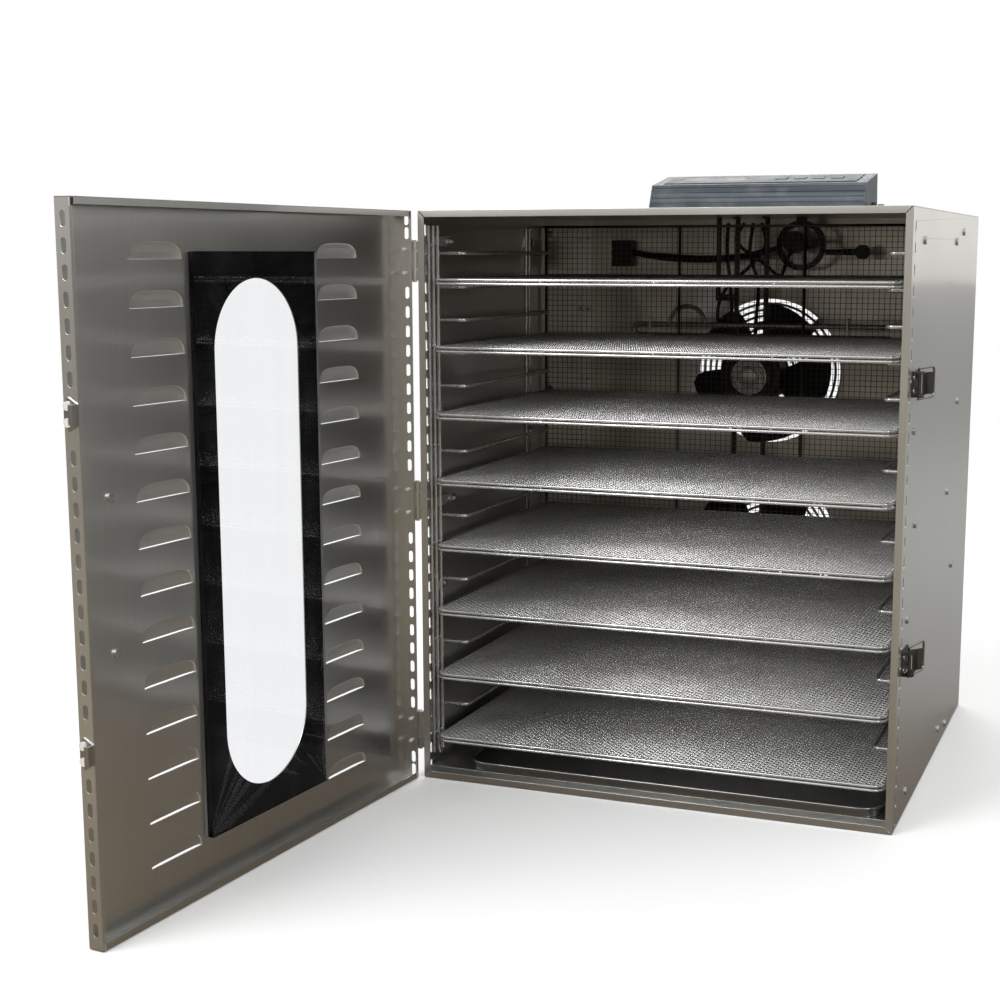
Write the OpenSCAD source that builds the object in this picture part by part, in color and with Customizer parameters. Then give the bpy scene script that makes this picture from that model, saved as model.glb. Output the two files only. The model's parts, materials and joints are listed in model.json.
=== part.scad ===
/* [Cabinet] */
// Width of the cabinet
cab_w = 500; // [480:5:520]
// Depth of the cabinet
cab_d = 500; // [480:5:520]
// Height of the cabinet
cab_h = 600; // [600:5:620]
// Thickness of the cabinet's sheet steel
sheet = 1.2; // [1:0.1:1.4]
// Width of the folded front flanges
flange = 7; // [6:0.5:8]
// Distance from the front to the mesh guard
chamber_d = 351; // [350:1:356]

/* [Door] */
// Thickness of the door pan
door_t = 15; // [14:0.5:16]
// Thickness of the door's sheet steel
skin = 1; // [0.8:0.1:1.2]
// Opening angle of the stored pose
door_angle = 95; // [90:1:110]
// Width of the clear window
window_w = 126; // [110:2:136]
// Height of the clear window
window_h = 466; // [440:2:480]
// Louvres in each column
louvre_count = 14; // [10:1:14]

/* [Trays] */
// Number of mesh trays
tray_count = 8; // [8]
// Distance between loaded rails
tray_pitch = 69.5; // [68:0.5:69.5]
// Depth of a tray
tray_d = 332; // [324:1:336]
// Thickness of the frame wires
wire = 3; // [2.6:0.2:3]

/* [Fans] */
// Outer radius of the fan blades
fan_r = 86; // [80:1:88]
// Number of blades on each fan
blade_count = 5; // [3:1:5]

/* [Console] */
// Length of the control console
console_w = 209.5; // [200:0.5:212]
// Height of the console's back edge
console_h = 32.5; // [31:0.5:34]

/* [Hidden] */
$fn = 32;

// Cabinet planes
x_out = cab_w / 2;
x_in = x_out - sheet;
y_front = -cab_d / 2;
y_back = cab_d / 2;
z_bot = 0;
z_top = cab_h;
z_mid = cab_h / 2;
mitre_gap = 0.6;
rear_flange = 13;
guard_y = y_front + chamber_d;
guard_bar = 3.2;

// Air slots: narrow obround holes in a row near the front of each side and round the door's edges
slot_w = 5;
slot_l = 12;
side_slot_y = y_front + 16;
side_slot_z0 = z_bot + 9;
side_slot_pitch = 19.7;
side_slot_count = 30;

// Draw latches on the right side, strikes on the door's free edge. The levers lie flat and the
// bails are folded back. Closed and hooked, a bail runs from bail_pin to hook
latch_dz = 135;
latch_z = [z_mid + latch_dz, z_mid - latch_dz];
latch_half = 12;
latch_y0 = y_front + 20;
latch_l = 36;
latch_rivet_y = [24, 52];
latch_rivet_dz = 6.5;
pivot = [x_out + 7, y_front + 26];
lever_reach = 26;
bail_pin = [x_out + 5.2, y_front + 33];
hook = [x_out + 1.8, y_front - 5];
bail_wire = 2.4;
bail_half = 14.5;
bail_len = norm(hook - bail_pin);
bail_rest = 13;
trunnion_r = 1.1;
catch_t = 1.2;
catch_half = 8;
catch_gap = 0.3;

// Hinges
hinge_x = -x_out - 3.8;
hinge_y = y_front - 0.5;
hinge_dz = 248;
hinge_mid = z_mid + 1;
hinge_z = [hinge_mid + hinge_dz, hinge_mid, hinge_mid - hinge_dz];
hinge_half = 20;
knuckle_r = 3.4;
pin_r = 1.6;
running = 0.05;
leaf_t = 1.2;
leaf_w = 19.5;
knuckle_lo = -8;
knuckle_hi = 10;

// Door pan, drawn closed and then swung about the hinge axis
door_x0 = -x_out + 0.5;
door_w = cab_w - 2;
door_x1 = door_x0 + door_w;
door_y1 = y_front - 1;
door_y0 = door_y1 - door_t;
door_z0 = z_bot + 0.5;
door_z1 = z_top - 0.5;
lip_side = 3;
lip_end = 6;
lip_gap = 1.5;
glass_w = 184;
glass_h = 515.5;
glass_x = door_x0 + 250.5;
glass_z = z_mid + 0.8;
window_z = z_mid + 2;
glass_t = 4;
seal_t = 0.8;
skin_in = door_y0 + skin;
door_slot_pitch = 20.2;
door_slot_count = 29;
louvre_w = 68;
louvre_h = 14;
louvre_deep = 4.5;
louvre_pitch = 39.4;
louvre_z0 = z_bot + 40;
louvre_x = [door_x0 + 116.5, door_x0 + 385];
handle_pitch = 128;
handle_x = door_x1 - 46;
handle_reach = 30;
handle_r = 5;
strike_half = 13.5;

// Racks and trays
rail_r = 2;
rail_x = x_out - 29.5;
rail_y0 = y_front + 50;
rail_y1 = y_front + 297;
rail_step = tray_pitch / 2;
rail_z0 = z_bot + 35.5;
tray_half = 240;
tray_y0 = y_front + 8;
tray_corner = 12;
mesh_t = 0.8;
wire_gap = 4;
tray_z0 = rail_z0 + rail_r + 0.3 + wire / 2;
post_x = x_in - 2.2;
posts = [[19, 1.25], [30, 1.5], [41, 1.75], [290, 1.6], [300, 1.6]];
rack_z0 = z_bot + 22;
rack_z1 = z_bot + 585;

// Drip pan on the floor liner
liner_z = z_bot + 10;
pan_x0 = -207;
pan_x1 = 238.5;
pan_y0 = y_front + 9;
pan_d = 321;
pan_h = 8.5;
pan_corner = 25;

// Fans in the rear compartment
fan_dz = 110;
fan_z = [z_mid + fan_dz, z_mid - fan_dz];
motor_y = y_front + 400;
motor_l = 32;
motor_r = 38;
bell_r = 22;
shaft_r = 3;
hub_r = 22;
blade_pitch = 16;
blade_half = 48;
blade_turn = 10;
blade_y = y_front + 460;
vent_r0 = 28;
vent_pitch = 7.5;
vent_rings = 9;
vent_w = 4.3;
strap_x = 18;
strap_w = 6;
strap_t = 2;
side_strap_x = -41;
side_strap_z = z_bot + 500;

// Fasteners: [distance from the front, height] on both sides
rack_points = [[75, 569], [47, 389], [75, 294], [47, 204], [75, 21], [308, 569], [308, 295], [308, 21]];
guard_points = [[367, 580], [367, 391], [367, 202], [367, 12]];
nut_r = 4;
nut_t = 3;
screw_r = 2;
screw_fit = 0.1;

// Console on the front right of the top, a wedge that slopes up towards the back
con_x0 = -7;
con_y0 = y_front + 12;
con_front = 22;
con_lean = 10;
con_depth = 68;
con_wall = 1.6;
con_slope = atan((console_h - con_front) / (con_depth - 3 - con_lean));
panel_w = 188;
panel_d = 42;
panel_t = 0.8;
key_size = 11;
key_x = [112, 130, 148, 166];
key_y = 22;
key_clear = 0.4;
key_proud = 1.3;
display_w = 62;
display_d = 22;

// Power inlet and rocker switch in the rear panel
inlet_x = 175;
inlet_z = z_bot + 60;
rocker_x = 110;

// ---------- helpers ----------

// Round bar between two points
module rod(a, b, r) {
    v = b - a;
    h = norm(v);
    translate(a) rotate([0, acos(v[2] / h), atan2(v[1], v[0])]) cylinder(h = h, r = r);
}

// Quarter bend of round bar in the XY plane: centre c, start angle a
module bend(c, big_r, r, a) {
    translate(c) rotate([0, 0, a]) rotate_extrude(angle = 90) translate([big_r, 0]) circle(r = r);
}

// Closed rounded rectangle of round wire in the XY plane
module wire_loop(x0, x1, y0, y1, corner, r) {
    rod([x0 + corner, y0, 0], [x1 - corner, y0, 0], r);
    rod([x0 + corner, y1, 0], [x1 - corner, y1, 0], r);
    rod([x0, y0 + corner, 0], [x0, y1 - corner, 0], r);
    rod([x1, y0 + corner, 0], [x1, y1 - corner, 0], r);
    bend([x1 - corner, y1 - corner, 0], corner, r, 0);
    bend([x0 + corner, y1 - corner, 0], corner, r, 90);
    bend([x0 + corner, y0 + corner, 0], corner, r, 180);
    bend([x1 - corner, y0 + corner, 0], corner, r, 270);
}

// Flat rounded rectangle, drawn from exact circles
module round_rect(x0, x1, y0, y1, r) {
    translate([x0 + r, y0]) square([x1 - x0 - 2 * r, y1 - y0]);
    translate([x0, y0 + r]) square([x1 - x0, y1 - y0 - 2 * r]);
    for (x = [x0 + r, x1 - r], y = [y0 + r, y1 - r]) translate([x, y]) circle(r = r);
}

// Obround, upright
module obround(w, l) {
    square([w, l - w], center = true);
    for (s = [-1, 1]) translate([0, s * (l - w) / 2]) circle(d = w);
}

// Carries a drawing in X and Z to a plate that starts at y and is t thick
module xz_plate(y, t) {
    translate([0, y + t, 0]) rotate([90, 0, 0]) linear_extrude(t) children();
}

// Carries a drawing in Y and Z to a plate that starts at x and is t thick
module yz_plate(x, t) {
    translate([x, 0, 0]) rotate([90, 0, 90]) linear_extrude(t) children();
}

// Cylinder along Y that starts at y
module y_cyl(x, y, z, h, r) {
    translate([x, y, z]) rotate([-90, 0, 0]) cylinder(h = h, r = r);
}

// Cylinder along X that starts at x
module x_cyl(x, y, z, h, r) {
    translate([x, y, z]) rotate([0, 90, 0]) cylinder(h = h, r = r);
}

// Pop rivet or dome head along +X: low dome and shank
module rivet_x(x, y, z, grip, head_r = 3.5) {
    x_cyl(x, y, z, 1.2, head_r);
    x_cyl(x - grip, y, z, grip + 0.6, 1.6);
}

// Turns the closed door to the stored, open pose
module door_pose() {
    translate([hinge_x, hinge_y, 0]) rotate([0, 0, -door_angle]) translate([-hinge_x, -hinge_y, 0])
        children();
}

// ---------- cabinet ----------

// Heights of the side slots
function side_slots() = [for (i = [0:side_slot_count - 1]) side_slot_z0 + i * side_slot_pitch];

module side_panel() {
    difference() {
        union() {
            translate([x_in, y_front + sheet, z_bot + sheet]) cube([sheet, cab_d - sheet,
                cab_h - 2 * sheet]);
            xz_plate(y_front, sheet) polygon([[x_out, z_bot + mitre_gap], [x_out, z_top - mitre_gap],
                [x_out - flange, z_top - flange - mitre_gap], [x_out - flange,
                    z_bot + flange + mitre_gap]]);
            translate([x_out - rear_flange, y_back - 2 * sheet, z_bot + sheet])
                cube([rear_flange, sheet, cab_h - 2 * sheet]);
        }
        yz_plate(x_in - 1, sheet + 2) for (z = side_slots()) translate([side_slot_y, z]) obround(slot_w,
            slot_l);
        for (p = concat(rack_points, guard_points))
            x_cyl(x_in - 1, y_front + p[0], z_bot + p[1], sheet + 2, screw_r + screw_fit);
        for (z = rear_screws()) y_cyl(x_out - 7, y_back - 3 * sheet, z, 3 * sheet, screw_r + screw_fit);
    }
}

// Heights of the screws down each side of the rear panel
function rear_screws() = [for (i = [0:6]) z_bot + 30 + 91 * i];

module right_side() {
    color("silver") difference() {
        side_panel();
        for (l = latch_z, y = latch_rivet_y, s = [-1, 1])
            x_cyl(x_in - 1, y_front + y, l + s * latch_rivet_dz, sheet + 2, 1.6 + screw_fit);
    }
}

module left_side() {
    color("silver") difference() {
        mirror([1, 0, 0]) side_panel();
        for (h = hinge_z, dz = [-12, 12])
            x_cyl(-x_out - 1, y_front + 12, h + dz, sheet + 2, 1.6 + screw_fit);
    }
}

// Flat sheet with its front edge folded down, mitred at both corners
module top_cover() {
    color("silver") difference() {
        union() {
            translate([-x_out, y_front + sheet, z_top - sheet]) cube([cab_w, cab_d - sheet, sheet]);
            xz_plate(y_front, sheet) polygon([[-x_out + mitre_gap, z_top], [x_out - mitre_gap, z_top],
                [x_out - flange - mitre_gap, z_top - flange], [-x_out + flange + mitre_gap,
                    z_top - flange]]);
        }
        // cable way under the console
        translate([con_x0 + 60, con_y0 + 34, z_top - 2 * sheet]) cylinder(h = 3 * sheet, r = 9);
    }
}

module base_pan() {
    color("silver") {
        translate([-x_out, y_front + sheet, z_bot]) cube([cab_w, cab_d - sheet, sheet]);
        xz_plate(y_front, sheet) polygon([[-x_out + mitre_gap, z_bot], [x_out - mitre_gap, z_bot],
            [x_out - flange - mitre_gap, z_bot + flange], [-x_out + flange + mitre_gap, z_bot + flange]]);
    }
}

// Raised floor that the drip pan slides on
module floor_liner() {
    color("silver") {
        translate([-x_in + 0.4, y_front + 11, liner_z - sheet]) cube([2 * x_in - 0.8, chamber_d - 16,
            sheet]);
        for (y = [y_front + 11, y_front + chamber_d - 5 - sheet])
            translate([-x_in + 0.4, y, z_bot + sheet]) cube([2 * x_in - 0.8, sheet,
                liner_z - z_bot - 2 * sheet]);
    }
}

// Ring slots in front of one fan, broken by four webs
module vent_rings_2d() {
    difference() {
        for (i = [0:vent_rings - 1]) difference() {
            circle(r = vent_r0 + i * vent_pitch + vent_w / 2);
            circle(r = vent_r0 + i * vent_pitch - vent_w / 2);
        }
        for (a = [45, 135]) rotate(a) square([220, 9], center = true);
    }
}

module rear_panel() {
    color("silver") difference() {
        translate([-x_in, y_back - sheet, z_bot + sheet]) cube([2 * x_in, sheet, cab_h - 2 * sheet]);
        for (z = fan_z) xz_plate(y_back - 2 * sheet, 3 * sheet) translate([0, z]) vent_rings_2d();
        for (s = [-1, 1], z = rear_screws())
            y_cyl(s * (x_out - 7), y_back - 2 * sheet, z, 3 * sheet, screw_r + screw_fit);
        translate([inlet_x - 14, y_back - 2 * sheet, inlet_z - 10.5]) cube([28, 3 * sheet, 21]);
        translate([rocker_x - 11, y_back - 2 * sheet, inlet_z - 14.5]) cube([22, 3 * sheet, 29]);
    }
}

// Square mesh on a wire frame across the back of the chamber, with flanges screwed to the sides
module mesh_guard() {
    bar_y = guard_y - guard_bar;
    color("dimgray") difference() {
        union() {
            translate([-x_in + 1, guard_y - mesh_t / 2, z_bot + 12]) cube([2 * x_in - 2, mesh_t,
                cab_h - 16]);
            for (z = [15, 585]) translate([-x_in + 1, bar_y, z_bot + z - guard_bar / 2])
                cube([2 * x_in - 2, guard_bar, guard_bar]);
            for (x = [-245, -75, 75, 245]) translate([x - guard_bar / 2, bar_y, z_bot + 15])
                cube([guard_bar, guard_bar, 570]);
            for (x = [-x_in + 0.4, x_in - 1.4]) translate([x, guard_y - 0.5, z_bot + 3])
                cube([1, 24, cab_h - 10]);
        }
        for (p = guard_points) x_cyl(-x_in - 1, y_front + p[0], z_bot + p[1], 4, screw_r + screw_fit);
        for (p = guard_points) x_cyl(x_in - 3, y_front + p[0], z_bot + p[1], 4, screw_r + screw_fit);
    }
}

// One U-shaped rail and, below, the welded rack of posts and rails on the right
module rail(z) {
    corner = 6;
    rod([post_x, rail_y0, z], [rail_x + corner, rail_y0, z], rail_r);
    bend([rail_x + corner, rail_y0 + corner, z], corner, rail_r, 180);
    rod([rail_x, rail_y0 + corner, z], [rail_x, rail_y1 - corner, z], rail_r);
    bend([rail_x + corner, rail_y1 - corner, z], corner, rail_r, 90);
    rod([rail_x + corner, rail_y1, z], [post_x, rail_y1, z], rail_r);
}

module rack() {
    color("lightgray") {
        for (i = [0:2 * tray_count - 1]) {
            z = rail_z0 + i * rail_step;
            rail(z);
            // short wire that ties the rail's front leg to the nearest post
            rod([post_x, y_front + posts[2][0], z], [post_x, rail_y0, z], 1.2);
        }
        for (p = posts) rod([post_x, y_front + p[0], rack_z0], [post_x, y_front + p[0], rack_z1], p[1]);
        // cross wires between the front posts
        for (i = [0:3:2 * tray_count - 1]) {
            z = rail_z0 + i * rail_step + 8;
            rod([post_x, y_front + posts[0][0], z], [post_x, y_front + posts[2][0], z], 1);
        }
        // mounting tabs, from the posts to their screws
        for (p = rack_points) rack_tab(p[0], z_bot + p[1]);
    }
}

module rack_tab(y, z) {
    y0 = y < 150 ? posts[2][0] - 3 : posts[3][0] - 2;
    difference() {
        translate([x_in - 1, y_front + y0, z - 5]) cube([1, y + 6 - y0, 10]);
        x_cyl(x_in - 3, y_front + y, z, 5, screw_r + screw_fit);
    }
}

module right_rack() rack();
module left_rack() mirror([1, 0, 0]) rack();

// Pan-head screws with hexagon nuts that hold the racks and the guard, and those of the rear panel
module side_screws() {
    color("gainsboro") {
        for (s = [0, 1]) mirror([s, 0, 0]) for (p = concat(rack_points, guard_points)) {
            y = y_front + p[0];
            z = z_bot + p[1];
            x_cyl(x_out, y, z, 1.8, 4);
            x_cyl(x_out - 7, y, z, 7.5, screw_r);
            translate([x_in - 1 - nut_t - 0.4, y, z]) rotate([0, 90, 0]) cylinder(h = nut_t, r = nut_r,
                $fn = 6);
        }
        for (s = [-1, 1], z = rear_screws()) {
            y_cyl(s * (x_out - 7), y_back, z, 1.8, 4);
            y_cyl(s * (x_out - 7), y_back - 9, z, 9.5, screw_r);
        }
    }
}

// Hinge: leaf and knuckles. ranges is the list of knuckle spans that this leaf keeps
module knuckles(z, spans) {
    for (k = spans) translate([hinge_x, hinge_y, z + k[0]]) cylinder(h = k[1] - k[0], r = knuckle_r);
}

module pin_bore(z) {
    translate([hinge_x, hinge_y, z - hinge_half - 1]) cylinder(h = 2 * hinge_half + 2,
        r = pin_r + running);
}

module hinge_leaves_cabinet() {
    color("silver") for (z = hinge_z) difference() {
        union() {
            translate([-x_out - leaf_t, hinge_y, z - hinge_half]) cube([leaf_t, leaf_w, 2 * hinge_half]);
            knuckles(z, [[-hinge_half, knuckle_lo - 0.3], [knuckle_hi + 0.3, hinge_half]]);
        }
        translate([hinge_x, hinge_y, z + knuckle_lo - 0.3])
            cylinder(h = knuckle_hi - knuckle_lo + 0.6, r = knuckle_r + 0.4);
        pin_bore(z);
        for (dz = [-12, 12]) x_cyl(-x_out - 2, y_front + 12, z + dz, 4, 1.6 + screw_fit);
    }
}

module hinge_leaves_door() {
    color("silver") door_pose() for (z = hinge_z) difference() {
        union() {
            translate([door_x0 - leaf_t, door_y0 + 1, z - hinge_half])
                cube([leaf_t, hinge_y - door_y0 - 1, 2 * hinge_half]);
            knuckles(z, [[knuckle_lo, knuckle_hi]]);
        }
        for (k = [[-hinge_half - 1, knuckle_lo], [knuckle_hi, hinge_half + 1]])
            translate([hinge_x, hinge_y, z + k[0]]) cylinder(h = k[1] - k[0], r = knuckle_r + 0.4);
        pin_bore(z);
        for (dz = [-12, 12]) x_cyl(door_x0 - 2, door_y0 + 7.5, z + dz, 4, 1.6 + screw_fit);
    }
}

module hinge_pins() {
    color("gainsboro") for (z = hinge_z) translate([hinge_x, hinge_y, z - hinge_half - 1]) {
        cylinder(h = 2 * hinge_half + 2, r = pin_r);
        translate([0, 0, 2 * hinge_half + 1.2]) cylinder(h = 1, r = pin_r + 0.9);
        translate([0, 0, -0.4]) cylinder(h = 1.2, r = pin_r + 0.9);
    }
}

// Pop rivets of the cabinet: hinge leaves and latch bases
module cabinet_rivets() {
    color("gainsboro") {
        for (z = hinge_z, dz = [-12, 12])
            mirror([1, 0, 0]) rivet_x(x_out + leaf_t, y_front + 12, z + dz, 3, 3);
        for (l = latch_z, y = latch_rivet_y, s = [-1, 1])
            rivet_x(x_out + 1.2, y_front + y, l + s * latch_rivet_dz, 3, 2.5);
    }
}

// ---------- latches ----------

// Base plate, two ears and the riveted pivot pin
module latch_base(z) {
    difference() {
        union() {
            translate([x_out, latch_y0, z - latch_half]) cube([1.2, latch_l, 2 * latch_half]);
            for (s = [-1, 1]) translate([0, 0, z + s * 11.7 - 0.5]) linear_extrude(1) {
                translate(pivot) circle(r = 4.5);
                translate([x_out + 1, pivot[1] - 4.5]) square([pivot[0] - x_out - 1, 9]);
            }
        }
        for (y = latch_rivet_y, s = [-1, 1])
            x_cyl(x_out - 1, y_front + y, z + s * latch_rivet_dz, 4, 1.6 + screw_fit);
    }
    translate([pivot[0], pivot[1], z - 12.8]) cylinder(h = 25.6, r = 1.5);
}

module latch_bases() color("silver") for (z = latch_z) latch_base(z);

// Pressed lever: two cheeks, a back and a finger tab that turns outwards
module latch_lever(z) {
    color("gainsboro") difference() {
        union() {
            for (s = [-1, 1]) translate([0, 0, z + s * 10 - 0.5]) linear_extrude(1) {
                translate(pivot) circle(r = 4.2);
                translate([pivot[0] - 3.6, pivot[1]]) square([7.2, 14]);
                polygon([[pivot[0] - 3.6, pivot[1] + 14], [pivot[0] + 3.6, pivot[1] + 14],
                    [pivot[0] + 3.6, pivot[1] + 20], [pivot[0] + 1.6, pivot[1] + 20]]);
            }
            translate([0, 0, z - 10.5]) linear_extrude(21) {
                translate([pivot[0] + 2.4, pivot[1] - 1.5]) square([1.2, lever_reach - 4.5]);
                polygon([[pivot[0] + 2.4, pivot[1] + lever_reach - 6], [pivot[0] + 3.6,
                    pivot[1] + lever_reach - 6],
                    [pivot[0] + 8.4, pivot[1] + lever_reach], [pivot[0] + 7.2,
                        pivot[1] + lever_reach + 0.6]]);
            }
        }
        translate([pivot[0], pivot[1], z - 12]) cylinder(h = 24, r = 1.5 + running);
        translate([bail_pin[0], bail_pin[1], z - 12]) cylinder(h = 24, r = trunnion_r + running);
    }
}

module latch_lever_upper() latch_lever(latch_z[0]);
module latch_lever_lower() latch_lever(latch_z[1]);

// Wire bail, its two ends turned inwards as trunnions, folded back beside the lever
module latch_bail(z) {
    corner = 4;
    r = bail_wire / 2;
    color("whitesmoke") translate([bail_pin[0], bail_pin[1], z]) rotate([0, 0, -bail_rest]) {
        for (s = [-1, 1]) {
            rod([0, 0, s * 9.2], [0, 0, s * bail_half], trunnion_r);
            rod([0, -r, s * bail_half], [0, bail_len - corner, s * bail_half], r);
            translate([0, bail_len - corner, s * (bail_half - corner)]) rotate([0, -90, 0]) rotate([0,
                0, s > 0 ? 0 : 90])
                rotate_extrude(angle = 90) translate([corner, 0]) circle(r = r);
        }
        rod([0, bail_len, corner - bail_half], [0, bail_len, bail_half - corner], r);
    }
}

module latch_bail_upper() latch_bail(latch_z[0]);
module latch_bail_lower() latch_bail(latch_z[1]);

// Strike plate on the door's free edge, and the catch that stands up from it and curls outwards
module strike(z) {
    wall = hook[1] + bail_wire / 2 + catch_gap;
    roof = hook[0] + bail_wire / 2 + catch_gap;
    difference() {
        union() {
            yz_plate(door_x1, catch_t) polygon([
                [door_y0 + 0.8, z - 6], [door_y0 + 5, z - strike_half], [door_y1 - 0.4, z - catch_half],
                [door_y1 - 0.4, z + catch_half], [door_y0 + 5, z + strike_half], [door_y0 + 0.8, z + 6]]);
            translate([door_x1 + 0.6, wall, z - catch_half])
                cube([roof + catch_t - door_x1 - 0.6, catch_t, 2 * catch_half]);
            translate([roof, wall - 3.2, z - catch_half]) cube([catch_t, 3.8, 2 * catch_half]);
        }
        for (s = [-1, 1]) x_cyl(door_x1 - 2, door_y0 + 4.6, z + s * latch_rivet_dz, 5, 1.6 + screw_fit);
    }
}

module latch_strikes() color("silver") door_pose() for (z = latch_z) strike(z);

// Pop rivets of the door: strikes and hinge leaves
module door_rivets() {
    color("whitesmoke") door_pose() {
        for (l = latch_z, dz = [-6.5, 6.5]) rivet_x(door_x1 + 1.2, door_y0 + 4.6, l + dz, 4, 3.6);
        for (h = hinge_z, dz = [-12, 12]) {
            x_cyl(door_x0 - leaf_t - 1.2, door_y0 + 7.5, h + dz, 1.2, 3);
            x_cyl(door_x0 - leaf_t - 0.6, door_y0 + 7.5, h + dz, 6, 1.6);
        }
    }
}

// ---------- door ----------

// Slot heights of the free edge, leaving the strikes free
function free_slots() = [for (i = [0:door_slot_count - 1])
    let (z = z_mid + (i - (door_slot_count - 1) / 2) * door_slot_pitch)
    if (min([for (l = latch_z) abs(z - l)]) > 20) z];

// Slot heights of the hinge edge: two outside the end hinges, ten between each pair
function hinge_slots() = concat(
    [for (s = [-1, 1], d = [277, 291]) z_mid + s * d],
    [for (s = [-1, 1], i = [0:9]) z_mid + s * (38.7 + i * 19.8)]);

// One louvre, its mouth cut through the skin and a sloping hood outside it. The foot is at z
module louvre_mouth(x, z) {
    translate([x - louvre_w / 2 + skin, door_y0 - 1, z]) cube([louvre_w - 2 * skin, skin + 2,
        louvre_h - 1]);
}

module louvre_hood(x, z) {
    y = door_y0 + 0.01;
    yz_plate(x - louvre_w / 2, louvre_w) polygon([[y, z + louvre_h], [y, z + louvre_h - 1.4],
        [y - louvre_deep + skin, z + 1.2], [y - louvre_deep + skin, z], [y - louvre_deep, z],
            [y - louvre_deep, z + 2]]);
    for (x0 = [x - louvre_w / 2, x + louvre_w / 2 - skin]) yz_plate(x0, skin)
        polygon([[y, z + louvre_h], [y, z], [y - louvre_deep, z], [y - louvre_deep, z + 2]]);
}

module door_pan() {
    color("silver") door_pose() {
        difference() {
            union() {
                translate([door_x0, door_y0, door_z0]) cube([door_w, skin, door_z1 - door_z0]);
                // edge walls
                for (x = [door_x0, door_x1 - skin])
                    translate([x, door_y0, door_z0]) cube([skin, door_t, door_z1 - door_z0]);
                for (z = [door_z0, door_z1 - skin])
                    translate([door_x0, door_y0, z]) cube([door_w, door_t, skin]);
                // returned lips, open at the mitred corners
                for (x = [door_x0, door_x1 - lip_side]) translate([x, door_y1 - skin,
                    door_z0 + lip_end + lip_gap])
                    cube([lip_side, skin, door_z1 - door_z0 - 2 * (lip_end + lip_gap)]);
                for (z = [door_z0, door_z1 - lip_end]) translate([door_x0 + lip_side + lip_gap,
                    door_y1 - skin, z])
                    cube([door_w - 2 * (lip_side + lip_gap), skin, lip_end]);
            }
            // window
            xz_plate(door_y0 - 1, skin + 2) translate([glass_x, window_z]) obround(window_w, window_h);
            for (x = louvre_x, i = [0:louvre_count - 1]) louvre_mouth(x, louvre_z0 + i * louvre_pitch);
            // slots in both upright edges
            yz_plate(door_x1 - 2, 4) for (z = free_slots()) translate([door_y1 - 7.5, z])
                obround(slot_w, slot_l);
            yz_plate(door_x0 - 2, 4) for (z = hinge_slots()) translate([door_y1 - 5.5, z])
                obround(slot_w, slot_l);
            // fastener holes
            for (l = latch_z, dz = [-6.5, 6.5]) x_cyl(door_x1 - 2, door_y0 + 4.6, l + dz, 4,
                1.6 + screw_fit);
            for (h = hinge_z, dz = [-12, 12]) x_cyl(door_x0 - 2, door_y0 + 7.5, h + dz, 4,
                1.6 + screw_fit);
            for (s = [-1, 1]) y_cyl(handle_x, door_y0 - 1, z_mid + s * handle_pitch / 2, skin + 2,
                screw_r + screw_fit);
        }
        for (x = louvre_x, i = [0:louvre_count - 1]) louvre_hood(x, louvre_z0 + i * louvre_pitch);
    }
}

module glass_outline() {
    translate([glass_x, glass_z]) round_rect(-glass_w / 2, glass_w / 2, -glass_h / 2, glass_h / 2, 2);
}

// Black seal and border between skin and glass, open over the window
module glass_seal() {
    color("black") door_pose() xz_plate(skin_in, seal_t) difference() {
        glass_outline();
        translate([glass_x, window_z]) obround(window_w, window_h);
    }
}

module door_glass() {
    color([0.75, 0.85, 0.85, 0.3]) door_pose() xz_plate(skin_in + seal_t, glass_t)
        glass_outline();
}

// Bow handle of bent round bar on the outside
module door_handle() {
    r_bend = 12;
    y_grip = door_y0 - handle_reach;
    color("gainsboro") door_pose() difference() {
        union() for (s = [-1, 1]) {
            z = z_mid + s * handle_pitch / 2;
            y_cyl(handle_x, y_grip + r_bend, z, handle_reach - r_bend, handle_r);
            y_cyl(handle_x, door_y0 - 3, z, 3, handle_r + 3);
            translate([handle_x, y_grip + r_bend, z - s * r_bend]) rotate([0, -90, 0]) rotate([0, 0,
                s > 0 ? 270 : 180])
                rotate_extrude(angle = 90) translate([r_bend, 0]) circle(r = handle_r);
            rod([handle_x, y_grip, z_mid], [handle_x, y_grip, z - s * r_bend], handle_r);
        }
        for (s = [-1, 1]) y_cyl(handle_x, door_y0 - 12, z_mid + s * handle_pitch / 2, 13,
            screw_r + screw_fit);
    }
}

// Screws that hold the handle, heads on the inside of the door
module handle_screws() {
    color("gainsboro") door_pose() for (s = [-1, 1]) {
        z = z_mid + s * handle_pitch / 2;
        y_cyl(handle_x, skin_in, z, 2, 3.8);
        y_cyl(handle_x, skin_in - 11, z, 11.5, screw_r);
    }
}

// ---------- trays ----------

// Mesh tray: two frame wires one above the other with the mesh let in between them
module tray(i) {
    z = tray_z0 + (tray_count - i) * tray_pitch;
    x1 = tray_half - wire / 2;
    y0 = tray_y0 + wire / 2;
    y1 = tray_y0 + tray_d - wire / 2;
    color("whitesmoke") {
        for (dz = [0, wire_gap]) translate([0, 0, z + dz]) wire_loop(-x1, x1, y0, y1, tray_corner,
            wire / 2);
        translate([0, 0, z + wire_gap - mesh_t / 2]) linear_extrude(mesh_t)
            round_rect(-x1, x1, y0, y1, tray_corner);
        // cross wires under the mesh
        for (f = [1, 2]) {
            y = tray_y0 + f * tray_d / 3;
            rod([-x1, y, z + 0.9], [x1, y, z + 0.9], wire / 2);
        }
        // stays that tie the two frame wires together
        for (x = [-tray_half / 2, 0, tray_half / 2], y = [y0, y1]) rod([x, y, z], [x, y, z + wire_gap],
            1);
    }
}

module tray_1() tray(1);
module tray_2() tray(2);
module tray_3() tray(3);
module tray_4() tray(4);
module tray_5() tray(5);
module tray_6() tray(6);
module tray_7() tray(7);
module tray_8() tray(8);

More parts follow.
